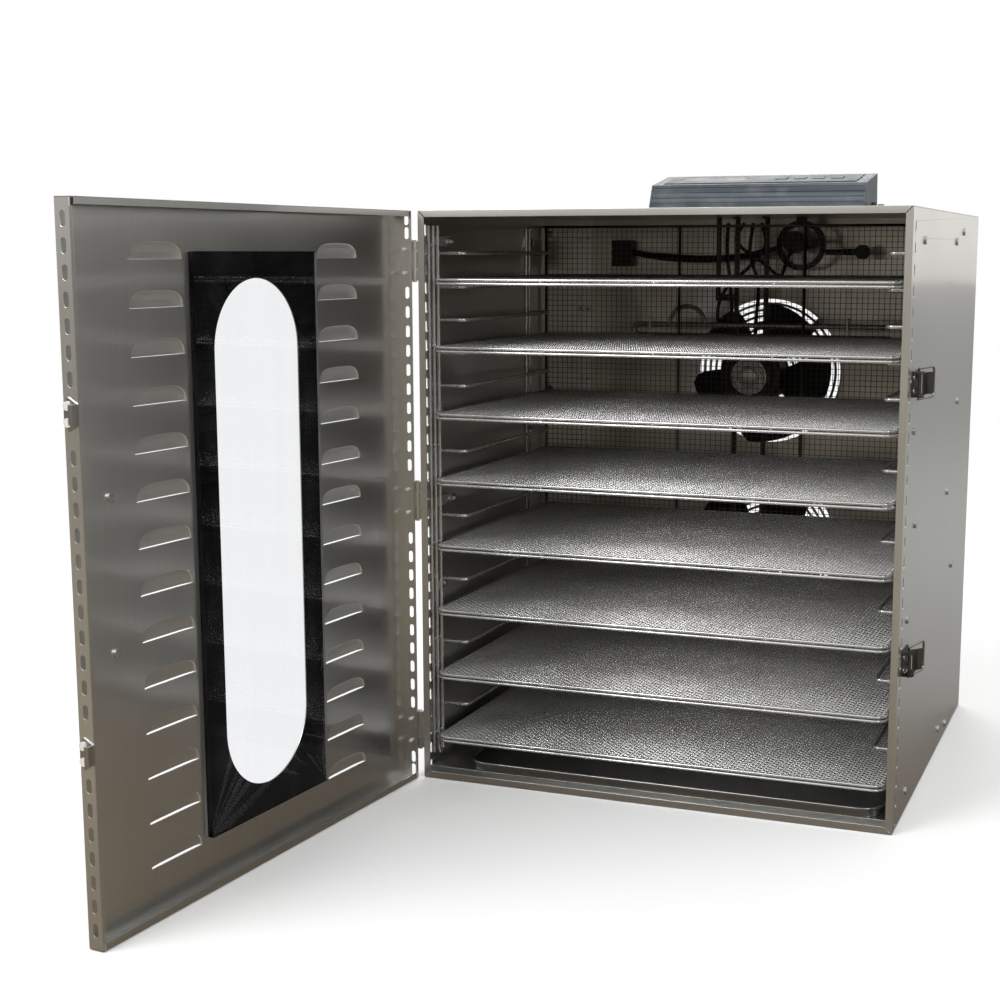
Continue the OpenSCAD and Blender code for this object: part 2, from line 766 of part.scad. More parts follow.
// Shallow pan with a rolled wire rim that catches drips
module drip_pan() {
    z0 = liner_z + 0.3;
    t = 0.8;
    x0 = pan_x0 + 1.5;
    x1 = pan_x1 - 1.5;
    y0 = pan_y0 + 1.5;
    y1 = pan_y0 + pan_d - 1.5;
    color("silver") {
        difference() {
            translate([0, 0, z0]) linear_extrude(pan_h) round_rect(x0, x1, y0, y1, pan_corner);
            translate([0, 0, z0 + t]) linear_extrude(pan_h)
                round_rect(x0 + t, x1 - t, y0 + t, y1 - t, pan_corner - t);
        }
        translate([0, 0, z0 + pan_h]) wire_loop(x0, x1, y0, y1, pan_corner, 1.5);
    }
}

// ---------- fans, heater and wiring ----------

// Round motor with a bell in front, a three-armed spider and its shaft
module fan_motor(z) {
    color("dimgray") {
        y_cyl(0, motor_y, z, motor_l, motor_r);
        y_cyl(0, motor_y - 8, z, 8, bell_r);
        y_cyl(0, motor_y - 11, z, 3, bell_r / 2);
        y_cyl(0, motor_y + motor_l, z, blade_y + 4 - motor_y - motor_l, shaft_r);
        for (a = [90, 210, 330]) translate([0, motor_y + 2, z]) rotate([0, -a, 0])
            translate([0, 0, -5]) cube([45, 3, 10]);
    }
}

module fan_motor_upper() fan_motor(fan_z[0]);
module fan_motor_lower() fan_motor(fan_z[1]);

// Two flat straps that carry both motors from the roof to the base, and a short one beside them
module fan_straps() {
    y = motor_y - strap_t;
    foot_l = 16;
    color("dimgray") difference() {
        union() {
            for (x = [-strap_x, strap_x]) {
                translate([x - strap_w / 2, y, z_bot + sheet]) cube([strap_w, strap_t,
                    cab_h - 2 * sheet]);
                for (z = [z_bot + sheet, z_top - sheet - strap_t])
                    translate([x - strap_w / 2, y - foot_l + strap_t, z]) cube([strap_w, foot_l,
                        strap_t]);
            }
            translate([side_strap_x - strap_w / 2, y, side_strap_z])
                cube([strap_w, strap_t, z_top - sheet - side_strap_z]);
            translate([side_strap_x - strap_w / 2, y, side_strap_z])
                cube([-strap_x - side_strap_x + strap_w, strap_t, 8]);
        }
        for (z = fan_z) y_cyl(0, y - 1, z, strap_t + 2, bell_r + 0.3);
    }
}

// Moulded impeller: hub with a bore, pitched blades
module fan_impeller(z) {
    color("black") translate([0, blade_y, z]) rotate([-90, 0, 0]) difference() {
        union() {
            translate([0, 0, -9]) cylinder(h = 18, r = hub_r);
            for (i = [0:blade_count - 1]) rotate([0, 0, i * 360 / blade_count + blade_turn]) intersection() {
                rotate([blade_pitch, 0, 0]) translate([0, 0, -1]) linear_extrude(2) intersection() {
                    circle(r = fan_r);
                    polygon([[0, -9], [fan_r * 1.1, -blade_half], [fan_r * 1.1, blade_half], [0, 9]]);
                }
                translate([0, 0, -14]) cylinder(h = 28, r = fan_r);
            }
        }
        translate([0, 0, -15]) cylinder(h = 30, r = shaft_r + running);
    }
}

module fan_impeller_upper() fan_impeller(fan_z[0]);
module fan_impeller_lower() fan_impeller(fan_z[1]);

// Tubular heater: a hairpin across the compartment and a raised loop at its left
heater_y = guard_y + 34;
heater_z = z_bot + 465;
heater_half = 6.5;
heater_r = 3.2;
heater_x = [-135.5, 170];
arch_x = -75;
arch_r = 22;
bracket_x = [-120, 120];
module heater_element() {
    color("sienna") {
        for (s = [-1, 1])
            rod([heater_x[0], heater_y, heater_z + s * heater_half],
                [heater_x[1], heater_y, heater_z + s * heater_half], heater_r);
        translate([heater_x[0], heater_y, heater_z]) rotate([90, 0, 0]) rotate([0, 0, 90])
            rotate_extrude(angle = 180) translate([heater_half, 0]) circle(r = heater_r);
        translate([arch_x, heater_y, heater_z + heater_half]) rotate([90, 0, 0])
            rotate_extrude(angle = 180) translate([arch_r, 0]) circle(r = 2.6);
    }
}

// Brackets that hold the hairpin off the rear panel
module heater_brackets() {
    arm_y = heater_y + 8;
    color("silver") for (x = bracket_x) {
        difference() {
            translate([x - 1, heater_y - 8, heater_z - 16]) cube([2, 17, 32]);
            for (s = [-1, 1])
                x_cyl(x - 2, heater_y, heater_z + s * heater_half, 4, heater_r + 0.1);
        }
        translate([x - 6, arm_y, heater_z - 16]) cube([12, y_back - sheet - arm_y, 2]);
    }
}

// Over-temperature cut-out: round body inside a ring, hung from the roof
cutout_x = 50;
cutout_y = y_front + 440;
cutout_z = z_bot + 566;
cutout_r = 29.5;
module thermal_cutout() {
    color("black") {
        difference() {
            y_cyl(cutout_x, cutout_y - 4, cutout_z, 8, cutout_r);
            y_cyl(cutout_x, cutout_y - 5, cutout_z, 10, cutout_r - 6);
        }
        y_cyl(cutout_x - 8, cutout_y - 10, cutout_z + 4, 18, 13);
        translate([cutout_x - 27, cutout_y - 3, cutout_z + 1]) cube([52, 6, 6]);
        translate([cutout_x - 6, cutout_y - 3, cutout_z + cutout_r - 4])
            cube([12, 6, z_top - sheet - cutout_z - cutout_r + 4]);
    }
}

// Temperature probe: stem beside the cut-out and a round bulb at its end
probe_z = z_bot + 558;
probe_x = [79.7, 124];
module temp_probe() {
    color("black") {
        rod([probe_x[0], cutout_y, probe_z], [probe_x[1], cutout_y, probe_z], 3.5);
        y_cyl(probe_x[1], cutout_y - 5, probe_z, 10, 8.5);
    }
}

// Three-way terminal block on the rear panel
block_x = -205;
block_z = z_bot + 540;
module terminal_block() {
    color("black") difference() {
        translate([block_x, y_back - sheet - 18, block_z]) cube([26, 18, 33]);
        for (z = [10, 21]) translate([block_x - 1, y_back - sheet - 19, block_z + z]) cube([28, 4, 2.4]);
    }
}

// Loom from the terminal block to the cut-out, sagging between them, swept as a tube
loom_a = [block_x + 26.05, y_back - 12, z_bot + 556];
loom_b = [20.4, cutout_y, z_bot + 562];
loom_sag = 10;
loom_n = 12;
loom_r = 3;
loom_sides = 10;
function loom(i) = let (t = i / loom_n)
    loom_a + t * (loom_b - loom_a) - [0, 0, 4 * loom_sag * t * (1 - t)];
// Each ring stands upright, across the way the loom runs
function loom_ring(i) = let (c = loom(i))
    [for (k = [0:loom_sides - 1]) let (a = 360 * k / loom_sides)
        c + loom_r * [0, cos(a), sin(a)]];
module wiring_loom() {
    last = loom_n * loom_sides;
    color("black") polyhedron(
        points = [for (i = [0:loom_n]) each loom_ring(i)],
        faces = concat(
            [[for (k = [0:loom_sides - 1]) k]],
            [[for (k = [loom_sides - 1:-1:0]) last + k]],
            [for (i = [0:loom_n - 1], k = [0:loom_sides - 1])
                let (a = i * loom_sides, m = (k + 1) % loom_sides)
                [a + k, a + loom_sides + k, a + loom_sides + m, a + m]]));
}

// ---------- console ----------

// Outline of the console in Y and Z, drawn inwards by t
function console_outline(t) = [[t * 1.2, -1 + (t > 0 ? -1 : 1)], [con_lean + t * 1.1, con_front - t],
    [con_depth - 3 - t, console_h - t], [con_depth - t, -1 + (t > 0 ? -1 : 1)]];

module console_shell() {
    color("slategray") difference() {
        translate([con_x0 + 2, con_y0, z_top]) yz_plate(0, console_w - 4) polygon(console_outline(0));
        translate([con_x0, con_y0, z_top]) yz_plate(0, console_w) polygon(console_outline(con_wall));
        // lengthwise grooves in the front face
        for (f = [0.2, 0.42, 0.64, 0.86]) translate([con_x0, con_y0 + f * con_lean,
            z_top + f * con_front])
            rotate([0, 90, 0]) cylinder(h = console_w, r = 0.7);
        on_slope() translate([4, 3, -8]) cube([panel_w - 8, panel_d - 6, 20]);
    }
}

// Frame of the sloping control face: X along it, Y up the slope
module on_slope() {
    translate([con_x0 + (console_w - panel_w) / 2, con_y0 + con_lean, z_top + con_front])
        rotate([con_slope, 0, 0]) translate([0, 6, 0]) children();
}

module console_end_caps() {
    color("slategray") for (x = [con_x0, con_x0 + console_w - 2])
        translate([x, con_y0, z_top]) yz_plate(0, 2) polygon(console_outline(0));
}

module control_panel() {
    color("darkslategray") on_slope() difference() {
        cube([panel_w, panel_d, panel_t]);
        for (x = key_x) translate([x, key_y - key_size / 2 - key_clear, -1])
            translate([-key_size / 2 - key_clear, 0, 0]) cube([key_size + 2 * key_clear,
                key_size + 2 * key_clear, 4]);
        translate([14, key_y - display_d / 2, -1]) cube([display_w, display_d, 4]);
    }
}

module display_window() {
    color("black") on_slope() translate([14, key_y - display_d / 2, -2])
        cube([display_w, display_d, panel_t + 2]);
}

module control_board() {
    color("darkgreen") on_slope() translate([6, 5, -9]) cube([panel_w - 12, panel_d - 12, 1.6]);
}

// Push key: cap through the panel and a wider foot behind it that keeps it in
module push_key(i) {
    color("gray") on_slope() translate([key_x[i] - key_size / 2, key_y - key_size / 2, 0]) {
        translate([0, 0, -3]) cube([key_size, key_size, 3 + key_proud]);
        translate([-1, -1, -3]) cube([key_size + 2, key_size + 2, 1.4]);
        translate([key_size / 2 - 1.5, key_size / 2 - 1.5, -5.6]) cube([3, 3, 3]);
    }
}

module key_up() push_key(0);
module key_down() push_key(1);
module key_set() push_key(2);
module key_start() push_key(3);

// ---------- rear fittings ----------

module switch_body() {
    color("black") difference() {
        union() {
            translate([rocker_x - 10.8, y_back - 22, inlet_z - 14.3]) cube([21.6, 22, 28.6]);
            translate([rocker_x - 13, y_back, inlet_z - 17]) cube([26, 1.6, 34]);
        }
        translate([rocker_x - 8.4, y_back - 9, inlet_z - 12]) cube([16.8, 12, 24]);
    }
    color("black") x_cyl(rocker_x - 9, y_back - 2, inlet_z, 18, 1 - running);
}

// Rocker with a wedge face, tilted on its pin
module switch_rocker() {
    color("black") difference() {
        translate([rocker_x - 8, 0, 0]) yz_plate(0, 16) polygon([[y_back - 4, inlet_z - 10.4],
            [y_back + 3.6, inlet_z - 10.9],
            [y_back + 1.4, inlet_z], [y_back + 1.6, inlet_z + 10.6], [y_back - 4, inlet_z + 10.2],
                [y_back - 5, inlet_z]]);
        x_cyl(rocker_x - 9, y_back - 2, inlet_z, 18, 1);
    }
}

// Flanged appliance inlet with three blades
module power_inlet() {
    color("black") difference() {
        union() {
            translate([inlet_x - 13.8, y_back - 18, inlet_z - 10.3]) cube([27.6, 18, 20.6]);
            xz_plate(y_back, 2.5) translate([inlet_x, inlet_z]) round_rect(-24, 24, -14, 14, 4);
        }
        translate([inlet_x - 12, y_back - 14, inlet_z - 8.2]) cube([24, 20, 16.4]);
        for (s = [-1, 1]) y_cyl(inlet_x + s * 19.5, y_back - 1, inlet_z, 5, 1.7);
    }
    color("silver") for (p = [[-7, -2], [0, 3], [7, -2]])
        translate([inlet_x + p[0] - 1, y_back - 15, inlet_z + p[1] - 2]) cube([2, 12, 4]);
}

// Two grommets on the roof beside the console, where its lead goes in
module cable_grommet() {
    color("black") {
        translate([con_x0 + console_w + 4.5, con_y0 + 22, z_top]) cylinder(h = 2, r = 3);
        translate([con_x0 + console_w + 4.5, con_y0 + 22, z_top]) cylinder(h = 4, r = 2);
        translate([con_x0 + console_w + 11.5, con_y0 + 22, z_top]) cylinder(h = 2, r = 3);
    }
}

left_side();
right_side();
top_cover();
base_pan();
floor_liner();
rear_panel();
mesh_guard();
left_rack();
right_rack();
fan_motor_upper();
fan_motor_lower();
fan_straps();
heater_element();
heater_brackets();
thermal_cutout();
temp_probe();
terminal_block();
wiring_loom();
hinge_leaves_cabinet();
hinge_pins();
latch_bases();
cabinet_rivets();
side_screws();
console_shell();
console_end_caps();
control_panel();
display_window();
control_board();
switch_body();
power_inlet();
cable_grommet();
door_pan();
door_glass();
glass_seal();
door_handle();
handle_screws();
latch_strikes();
door_rivets();
hinge_leaves_door();
tray_1();
tray_2();
tray_3();
tray_4();
tray_5();
tray_6();
tray_7();
tray_8();
drip_pan();
fan_impeller_upper();
fan_impeller_lower();
latch_lever_upper();
latch_lever_lower();
latch_bail_upper();
latch_bail_lower();
switch_rocker();
key_up();
key_down();
key_set();
key_start();
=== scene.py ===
"""Looks of the food dehydrator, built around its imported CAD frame. Metres, Z up."""

import json
import math

import bmesh
import bpy
from mathutils import Matrix, Vector


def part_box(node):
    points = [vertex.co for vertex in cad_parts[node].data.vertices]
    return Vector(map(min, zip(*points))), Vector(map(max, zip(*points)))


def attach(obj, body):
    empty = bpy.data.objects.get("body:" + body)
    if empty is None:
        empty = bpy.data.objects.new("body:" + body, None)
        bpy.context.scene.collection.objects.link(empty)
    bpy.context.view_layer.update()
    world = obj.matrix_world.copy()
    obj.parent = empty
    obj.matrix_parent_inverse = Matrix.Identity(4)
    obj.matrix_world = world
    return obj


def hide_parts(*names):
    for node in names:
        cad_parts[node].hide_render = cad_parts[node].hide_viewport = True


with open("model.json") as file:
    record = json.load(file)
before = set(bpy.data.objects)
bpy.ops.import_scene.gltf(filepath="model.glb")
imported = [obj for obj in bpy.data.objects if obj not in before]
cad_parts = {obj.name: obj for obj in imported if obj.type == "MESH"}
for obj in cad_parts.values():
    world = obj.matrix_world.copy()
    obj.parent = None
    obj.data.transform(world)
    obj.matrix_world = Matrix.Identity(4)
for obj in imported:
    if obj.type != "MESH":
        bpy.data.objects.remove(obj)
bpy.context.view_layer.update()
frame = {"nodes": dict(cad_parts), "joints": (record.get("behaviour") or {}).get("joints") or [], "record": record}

MM = 0.001
SHEET = 1 * MM
NODE_SLOT = {part["node"]: part["material_slot"] for part in frame["record"]["subparts"]}


# ---------- camera, floor and light ----------

CAMERA_PLACE = (0.4849, -1.7851, 0.5572)
CAMERA_TILT, CAMERA_TURN = math.radians(80.72), math.radians(21.11)
LENS_MM, SENSOR_MM = 58.92, 36
SHIFT_X, SHIFT_Y = -0.0476, 0.0202

# Colours by height, from 0 straight down to 1 straight up
ROOM_BY_HEIGHT = ((0, (0.12, 0.10, 0.08)), (0.44, (0.22, 0.20, 0.17)), (0.52, (0.36, 0.35, 0.33)),
                  (0.66, (0.52, 0.52, 0.52)), (1, (0.70, 0.70, 0.70)))
# Soft patches of light: direction, inner and outer half angle in degrees, colour
ROOM_PATCHES = (
    ((0.28, 0.95, 0.06), 8, 32, (0.62, 0.62, 0.60)),
    ((-0.5, -0.75, 0.55), 12, 34, (1.2, 1.2, 1.2)),
    ((0.75, -0.5, 0.65), 10, 30, (0.8, 0.8, 0.8)),
    ((0.1, -1, -0.02), 5, 26, (0.22, 0.17, 0.11)),
    ((0, 0.1, 1), 15, 55, (0.25, 0.25, 0.25)),
)
FLOOR_SIZE = 30
FLOOR_Z = -0.6 * MM
FLOOR_COLOUR, FLOOR_ROUGHNESS = (0.88, 0.88, 0.88), 0.8
# Colours that mirrors see on the floor, from 0 in front to 1 behind, and where those two are along Y
FLOOR_BY_DEPTH = ((0, (0.25, 0.22, 0.17)), (0.3, (0.23, 0.20, 0.15)), (0.52, (0.19, 0.155, 0.12)),
                  (0.62, (0.21, 0.18, 0.15)), (0.8, (0.31, 0.305, 0.295)), (1, (0.34, 0.34, 0.33)))
FLOOR_FRONT, FLOOR_BEHIND = -2, 1
# The floor fades to white between these two distances
FADE_START, FADE_END = 0.9, 2.2
# Lamps: name, place, target, width and height, watts
LAMPS = (
    ("key", (-1.3, -2.4, 2.2), (0, -0.1, 0.3), (1.4, 1.0), 40),
    ("fill", (1.9, -1.4, 1.6), (0, 0, 0.3), (1.0, 1.4), 18),
    ("back", (-0.8, 2.4, 2.0), (0, 0, 0.3), (1.6, 1.0), 30),
)


def make_camera():
    """Camera at the viewing angle: in front, to the right, nearly as high as the cabinet's top."""
    data = bpy.data.cameras.new("camera")
    data.sensor_width = SENSOR_MM
    data.lens = LENS_MM
    data.shift_x = SHIFT_X
    data.shift_y = SHIFT_Y
    camera = bpy.data.objects.new("camera", data)
    camera.location = CAMERA_PLACE
    camera.rotation_euler = (CAMERA_TILT, 0, CAMERA_TURN)
    bpy.context.scene.collection.objects.link(camera)
    bpy.context.scene.camera = camera


def coordinate(tree, kind, axis):
    """One component of the given kind of texture coordinate."""
    coord = tree.nodes.new("ShaderNodeTexCoord")
    split = tree.nodes.new("ShaderNodeSeparateXYZ")
    tree.links.new(coord.outputs[kind], split.inputs[0])
    return split.outputs[axis]


def colour_ramp(tree, value, start, end, stops):
    """Colour of value, which runs from start to end, by stops of place and colour."""
    share = tree.nodes.new("ShaderNodeMapRange")
    share.inputs["From Min"].default_value = start
    share.inputs["From Max"].default_value = end
    tree.links.new(value, share.inputs["Value"])
    ramp = tree.nodes.new("ShaderNodeValToRGB")
    ramp.color_ramp.elements[0].color = (*stops[0][1], 1)
    ramp.color_ramp.elements[1].color = (*stops[-1][1], 1)
    for place, colour in stops[1:-1]:
        ramp.color_ramp.elements.new(place).color = (*colour, 1)
    tree.links.new(share.outputs["Result"], ramp.inputs["Fac"])
    return ramp.outputs["Color"]


def computed(tree, operation, first, second, clamp=False):
    """A Math node on two values."""
    node = tree.nodes.new("ShaderNodeMath")
    node.operation = operation
    node.use_clamp = clamp
    tree.links.new(first, node.inputs[0])
    tree.links.new(second, node.inputs[1])
    return node.outputs[0]


def mixed_shaders(tree, factor, first, second):
    """Shader that goes from first to second with factor."""
    node = tree.nodes.new("ShaderNodeMixShader")
    tree.links.new(factor, node.inputs["Fac"])
    tree.links.new(first, node.inputs[1])
    tree.links.new(second, node.inputs[2])
    return node.outputs[0]


def softbox_in_sky(tree, direction, inner, outer):
    """1 in a soft patch of sky around direction, falling to 0 between two half angles in degrees."""
    coord = tree.nodes.new("ShaderNodeTexCoord")
    dot = tree.nodes.new("ShaderNodeVectorMath")
    dot.operation = "DOT_PRODUCT"
    dot.inputs[1].default_value = Vector(direction).normalized()
    tree.links.new(coord.outputs["Generated"], dot.inputs[0])
    soft = tree.nodes.new("ShaderNodeMapRange")
    soft.interpolation_type = "SMOOTHSTEP"
    soft.inputs["From Min"].default_value = math.cos(math.radians(outer))
    soft.inputs["From Max"].default_value = math.cos(math.radians(inner))
    tree.links.new(dot.outputs["Value"], soft.inputs["Value"])
    return soft.outputs["Result"]


def make_world():
    """A studio: plain white to look at, and a soft room with lamps to light and reflect."""
    world = bpy.data.worlds.new("studio")
    world.use_nodes = True
    tree = world.node_tree
    tree.nodes.clear()
    total = colour_ramp(tree, coordinate(tree, "Generated", "Z"), -1, 1, ROOM_BY_HEIGHT)
    for direction, inner, outer, colour in ROOM_PATCHES:
        scaled = tree.nodes.new("ShaderNodeVectorMath")
        scaled.operation = "SCALE"
        scaled.inputs[0].default_value = colour
        tree.links.new(softbox_in_sky(tree, direction, inner, outer), scaled.inputs["Scale"])
        add = tree.nodes.new("ShaderNodeVectorMath")
        add.operation = "ADD"
        tree.links.new(total, add.inputs[0])
        tree.links.new(scaled.outputs["Vector"], add.inputs[1])
        total = add.outputs["Vector"]
    room = tree.nodes.new("ShaderNodeBackground")
    tree.links.new(total, room.inputs["Color"])
    plain = tree.nodes.new("ShaderNodeBackground")
    plain.inputs["Color"].default_value = (1, 1, 1, 1)
    both = mixed_shaders(tree, seen_directly(tree), room.outputs[0], plain.outputs[0])
    output = tree.nodes.new("ShaderNodeOutputWorld")
    tree.links.new(both, output.inputs["Surface"])
    bpy.context.scene.world = world


def seen_directly(tree):
    """1 for rays that come straight from the eye, or through glass, and 0 for all others."""
    path = tree.nodes.new("ShaderNodeLightPath")
    return computed(tree, "MAXIMUM", path.outputs["Is Camera Ray"], path.outputs["Is Transmission Ray"])


def make_floor():
    """A large pale floor. Mirrors of steel see a room's floor instead: tan in front, grey behind.

    Through the window it shows as the same plain white as the room, and far off it fades to that
    white, so that no horizon shows.
    """
    data = bpy.data.meshes.new("floor")
    corners = [(x * FLOOR_SIZE, y * FLOOR_SIZE, FLOOR_Z) for x, y in ((-1, -1), (1, -1), (1, 1), (-1, 1))]
    data.from_pydata(corners, [], [(0, 1, 2, 3)])
    floor = bpy.data.objects.new("floor", data)
    bpy.context.scene.collection.objects.link(floor)
    mat = bpy.data.materials.new("floor")
    mat.use_nodes = True
    tree = mat.node_tree
    pale = tree.nodes["Principled BSDF"]
    pale.inputs["Base Color"].default_value = (*FLOOR_COLOUR, 1)
    pale.inputs["Roughness"].default_value = FLOOR_ROUGHNESS
    dim = tree.nodes.new("ShaderNodeBsdfDiffuse")
    tree.links.new(colour_ramp(tree, coordinate(tree, "Object", "Y"), FLOOR_FRONT, FLOOR_BEHIND,
                               FLOOR_BY_DEPTH), dim.inputs["Color"])
    path = tree.nodes.new("ShaderNodeLightPath")
    through_glass = path.outputs["Is Transmission Ray"]
    mirrored = computed(tree, "SUBTRACT", path.outputs["Is Glossy Ray"], through_glass, True)
    near = mixed_shaders(tree, mirrored, pale.outputs[0], dim.outputs[0])
    coord = tree.nodes.new("ShaderNodeTexCoord")
    distance = tree.nodes.new("ShaderNodeVectorMath")
    distance.operation = "LENGTH"
    tree.links.new(coord.outputs["Object"], distance.inputs[0])
    far = tree.nodes.new("ShaderNodeMapRange")
    far.inputs["From Min"].default_value = FADE_START
    far.inputs["From Max"].default_value = FADE_END
    tree.links.new(distance.outputs["Value"], far.inputs["Value"])
    far_seen = computed(tree, "MULTIPLY", far.outputs["Result"], path.outputs["Is Camera Ray"])
    white = computed(tree, "MAXIMUM", far_seen, through_glass)
    plain = tree.nodes.new("ShaderNodeEmission")
    surface = mixed_shaders(tree, white, near, plain.outputs[0])
    tree.links.new(surface, tree.nodes["Material Output"].inputs["Surface"])
    data.materials.append(mat)


def make_lamp(name, place, target, size, watts):
    """Soft rectangular lamp that faces its target."""
    data = bpy.data.lights.new(name, "AREA")
    data.shape = "RECTANGLE"
    data.size, data.size_y = size
    data.energy = watts
    lamp = bpy.data.objects.new(name, data)
    lamp.location = place
    lamp.rotation_euler = (Vector(target) - Vector(place)).to_track_quat("-Z", "Y").to_euler()
    bpy.context.scene.collection.objects.link(lamp)


make_camera()
bpy.context.scene.view_settings.view_transform = "Standard"
bpy.context.scene.cycles.denoising_prefilter = "NONE"
make_world()
make_floor()
for lamp in LAMPS:
    make_lamp(*lamp)


# ---------- materials ----------

def new_shader(name, colour, roughness, metallic=0.0):
    """A material with its Principled shader, whose constants sit on the shader's own sockets."""
    mat = bpy.data.materials.new(name)
    mat.use_nodes = True
    bsdf = mat.node_tree.nodes["Principled BSDF"]
    bsdf.inputs["Base Color"].default_value = (*colour, 1)
    bsdf.inputs["Roughness"].default_value = roughness
    bsdf.inputs["Metallic"].default_value = metallic
    return mat, mat.node_tree, bsdf


def noise(tree, per_metre, detail=3.0, offset=0.0):
    """Noise on the piece's own coordinates; per_metre is how fine it is along X, Y and Z."""
    coord = tree.nodes.new("ShaderNodeTexCoord")
    mapping = tree.nodes.new("ShaderNodeMapping")
    mapping.inputs["Scale"].default_value = per_metre
    mapping.inputs["Location"].default_value = (offset, offset, offset)
    tree.links.new(coord.outputs["Object"], mapping.inputs["Vector"])
    texture = tree.nodes.new("ShaderNodeTexNoise")
    texture.inputs["Scale"].default_value = 1
    texture.inputs["Detail"].default_value = detail
    tree.links.new(mapping.outputs["Vector"], texture.inputs["Vector"])
    return texture.outputs["Fac"]


def ranged(tree, value, low, high, start=0.3, end=0.7):
    """value from start to end carried to low to high, and held there outside."""
    node = tree.nodes.new("ShaderNodeMapRange")
    node.inputs["From Min"].default_value = start
    node.inputs["From Max"].default_value = end
    node.inputs["To Min"].default_value = low
    node.inputs["To Max"].default_value = high
    tree.links.new(value, node.inputs["Value"])
    return node.outputs["Result"]


def blended(tree, factor, first, second):
    """Colour that goes from first to second with factor."""
    node = tree.nodes.new("ShaderNodeMix")
    node.data_type = "RGBA"
    tree.links.new(factor, node.inputs["Factor"])
    for socket, colour in (("A", first), ("B", second)):
        target = [s for s in node.inputs if s.name == socket and s.type == "RGBA"][0]
        if isinstance(colour, tuple):
            target.default_value = (*colour, 1)
        else:
            tree.links.new(colour, target)
    return [s for s in node.outputs if s.type == "RGBA"][0]


def bumped(tree, height, depth, under=None):
    """Bump of the given depth in metres, on top of another bump."""
    node = tree.nodes.new("ShaderNodeBump")
    node.inputs["Distance"].default_value = depth
    tree.links.new(height, node.inputs["Height"])
    if under is not None:
        tree.links.new(under, node.inputs["Normal"])
    return node.outputs["Normal"]


FINE, LONG = 700.0, 9.0
COAT_IOR, COAT_ROUGHNESS = 2.2, 0.11
GLASS_IOR = 1.2
GRAIN = {"x": (LONG, FINE, FINE), "y": (FINE, LONG, FINE), "z": (FINE, FINE, LONG), None: (120.0,) * 3}


def steel(name, colour, roughness, along="z", wave=0.6 * MM, smudge=0.05, polish=0.6):
    """Sheet steel brushed along one axis, a little uneven and polished, with faint smudges."""
    mat, tree, bsdf = new_shader(name, colour, roughness, 1.0)
    grain = noise(tree, GRAIN[along], 2)
    clouds = noise(tree, (7, 7, 7), 4, 3.1)
    dark = tuple(c * (1 - smudge) for c in colour)
    light = tuple(min(1, c * (1 + smudge / 2)) for c in colour)
    tone = blended(tree, ranged(tree, grain, 0, 1), dark, light)
    stained = blended(tree, ranged(tree, clouds, 0.35, 0, 0.42, 0.62), tone, dark)
    tree.links.new(stained, bsdf.inputs["Base Color"])
    tree.links.new(ranged(tree, clouds, roughness, roughness + 0.05), bsdf.inputs["Roughness"])
    bsdf.inputs["Coat Weight"].default_value = polish
    bsdf.inputs["Coat IOR"].default_value = COAT_IOR
    bsdf.inputs["Coat Roughness"].default_value = COAT_ROUGHNESS
    uneven = bumped(tree, noise(tree, (8, 8, 8), 1, 7.7), wave)
    tree.links.new(bumped(tree, grain, 0.001 * MM, uneven), bsdf.inputs["Normal"])
    tree.links.new(uneven, bsdf.inputs["Coat Normal"])
    return mat


def wire_metal(name, colour, roughness, metallic=1.0, grazing=1.0):
    """Drawn wire or turned metal: fine specks, a few duller places. grazing dims its rim."""
    mat, tree, bsdf = new_shader(name, colour, roughness, metallic)
    bsdf.inputs["Specular Tint"].default_value = (grazing, grazing, grazing, 1)
    specks = noise(tree, (400,) * 3, 2)
    dull = noise(tree, (16,) * 3, 3, 5.3)
    shade = tuple(c * 0.85 for c in colour)
    tree.links.new(blended(tree, ranged(tree, dull, 0, 1, 0.4, 0.65), colour, shade),
                   bsdf.inputs["Base Color"])
    tree.links.new(ranged(tree, dull, roughness - 0.03, roughness + 0.03), bsdf.inputs["Roughness"])
    tree.links.new(bumped(tree, specks, 0.06 * MM), bsdf.inputs["Normal"])
    return mat


def moulded(name, colour, roughness, grain=0.08 * MM, per_metre=900.0, specular=0.5):
    """Moulded plastic or rubber: fine texture, slight change of shade, dull worn patches."""
    mat, tree, bsdf = new_shader(name, colour, roughness)
    bsdf.inputs["Specular IOR Level"].default_value = specular
    texture = noise(tree, (per_metre,) * 3, 2)
    patches = noise(tree, (30,) * 3, 3, 2.2)
    worn = tuple(min(1, c * 1.35 + 0.01) for c in colour)
    tree.links.new(blended(tree, ranged(tree, patches, 0, 0.8, 0.45, 0.7), colour, worn),
                   bsdf.inputs["Base Color"])
    tree.links.new(ranged(tree, patches, roughness - 0.06, roughness + 0.08),
                   bsdf.inputs["Roughness"])
    tree.links.new(bumped(tree, texture, grain), bsdf.inputs["Normal"])
    return mat


def window_glass():
    """Clear glass, a little uneven in its tint."""
    mat, tree, bsdf = new_shader("glass", (0.95, 0.97, 0.97), 0.0)
    bsdf.inputs["Transmission Weight"].default_value = 1.0
    bsdf.inputs["IOR"].default_value = GLASS_IOR
    streaks = noise(tree, (90, 90, 3), 3)
    tree.links.new(blended(tree, ranged(tree, streaks, 0, 1), (0.88, 0.895, 0.91), (0.90, 0.915, 0.93)),
                   bsdf.inputs["Base Color"])
    return mat


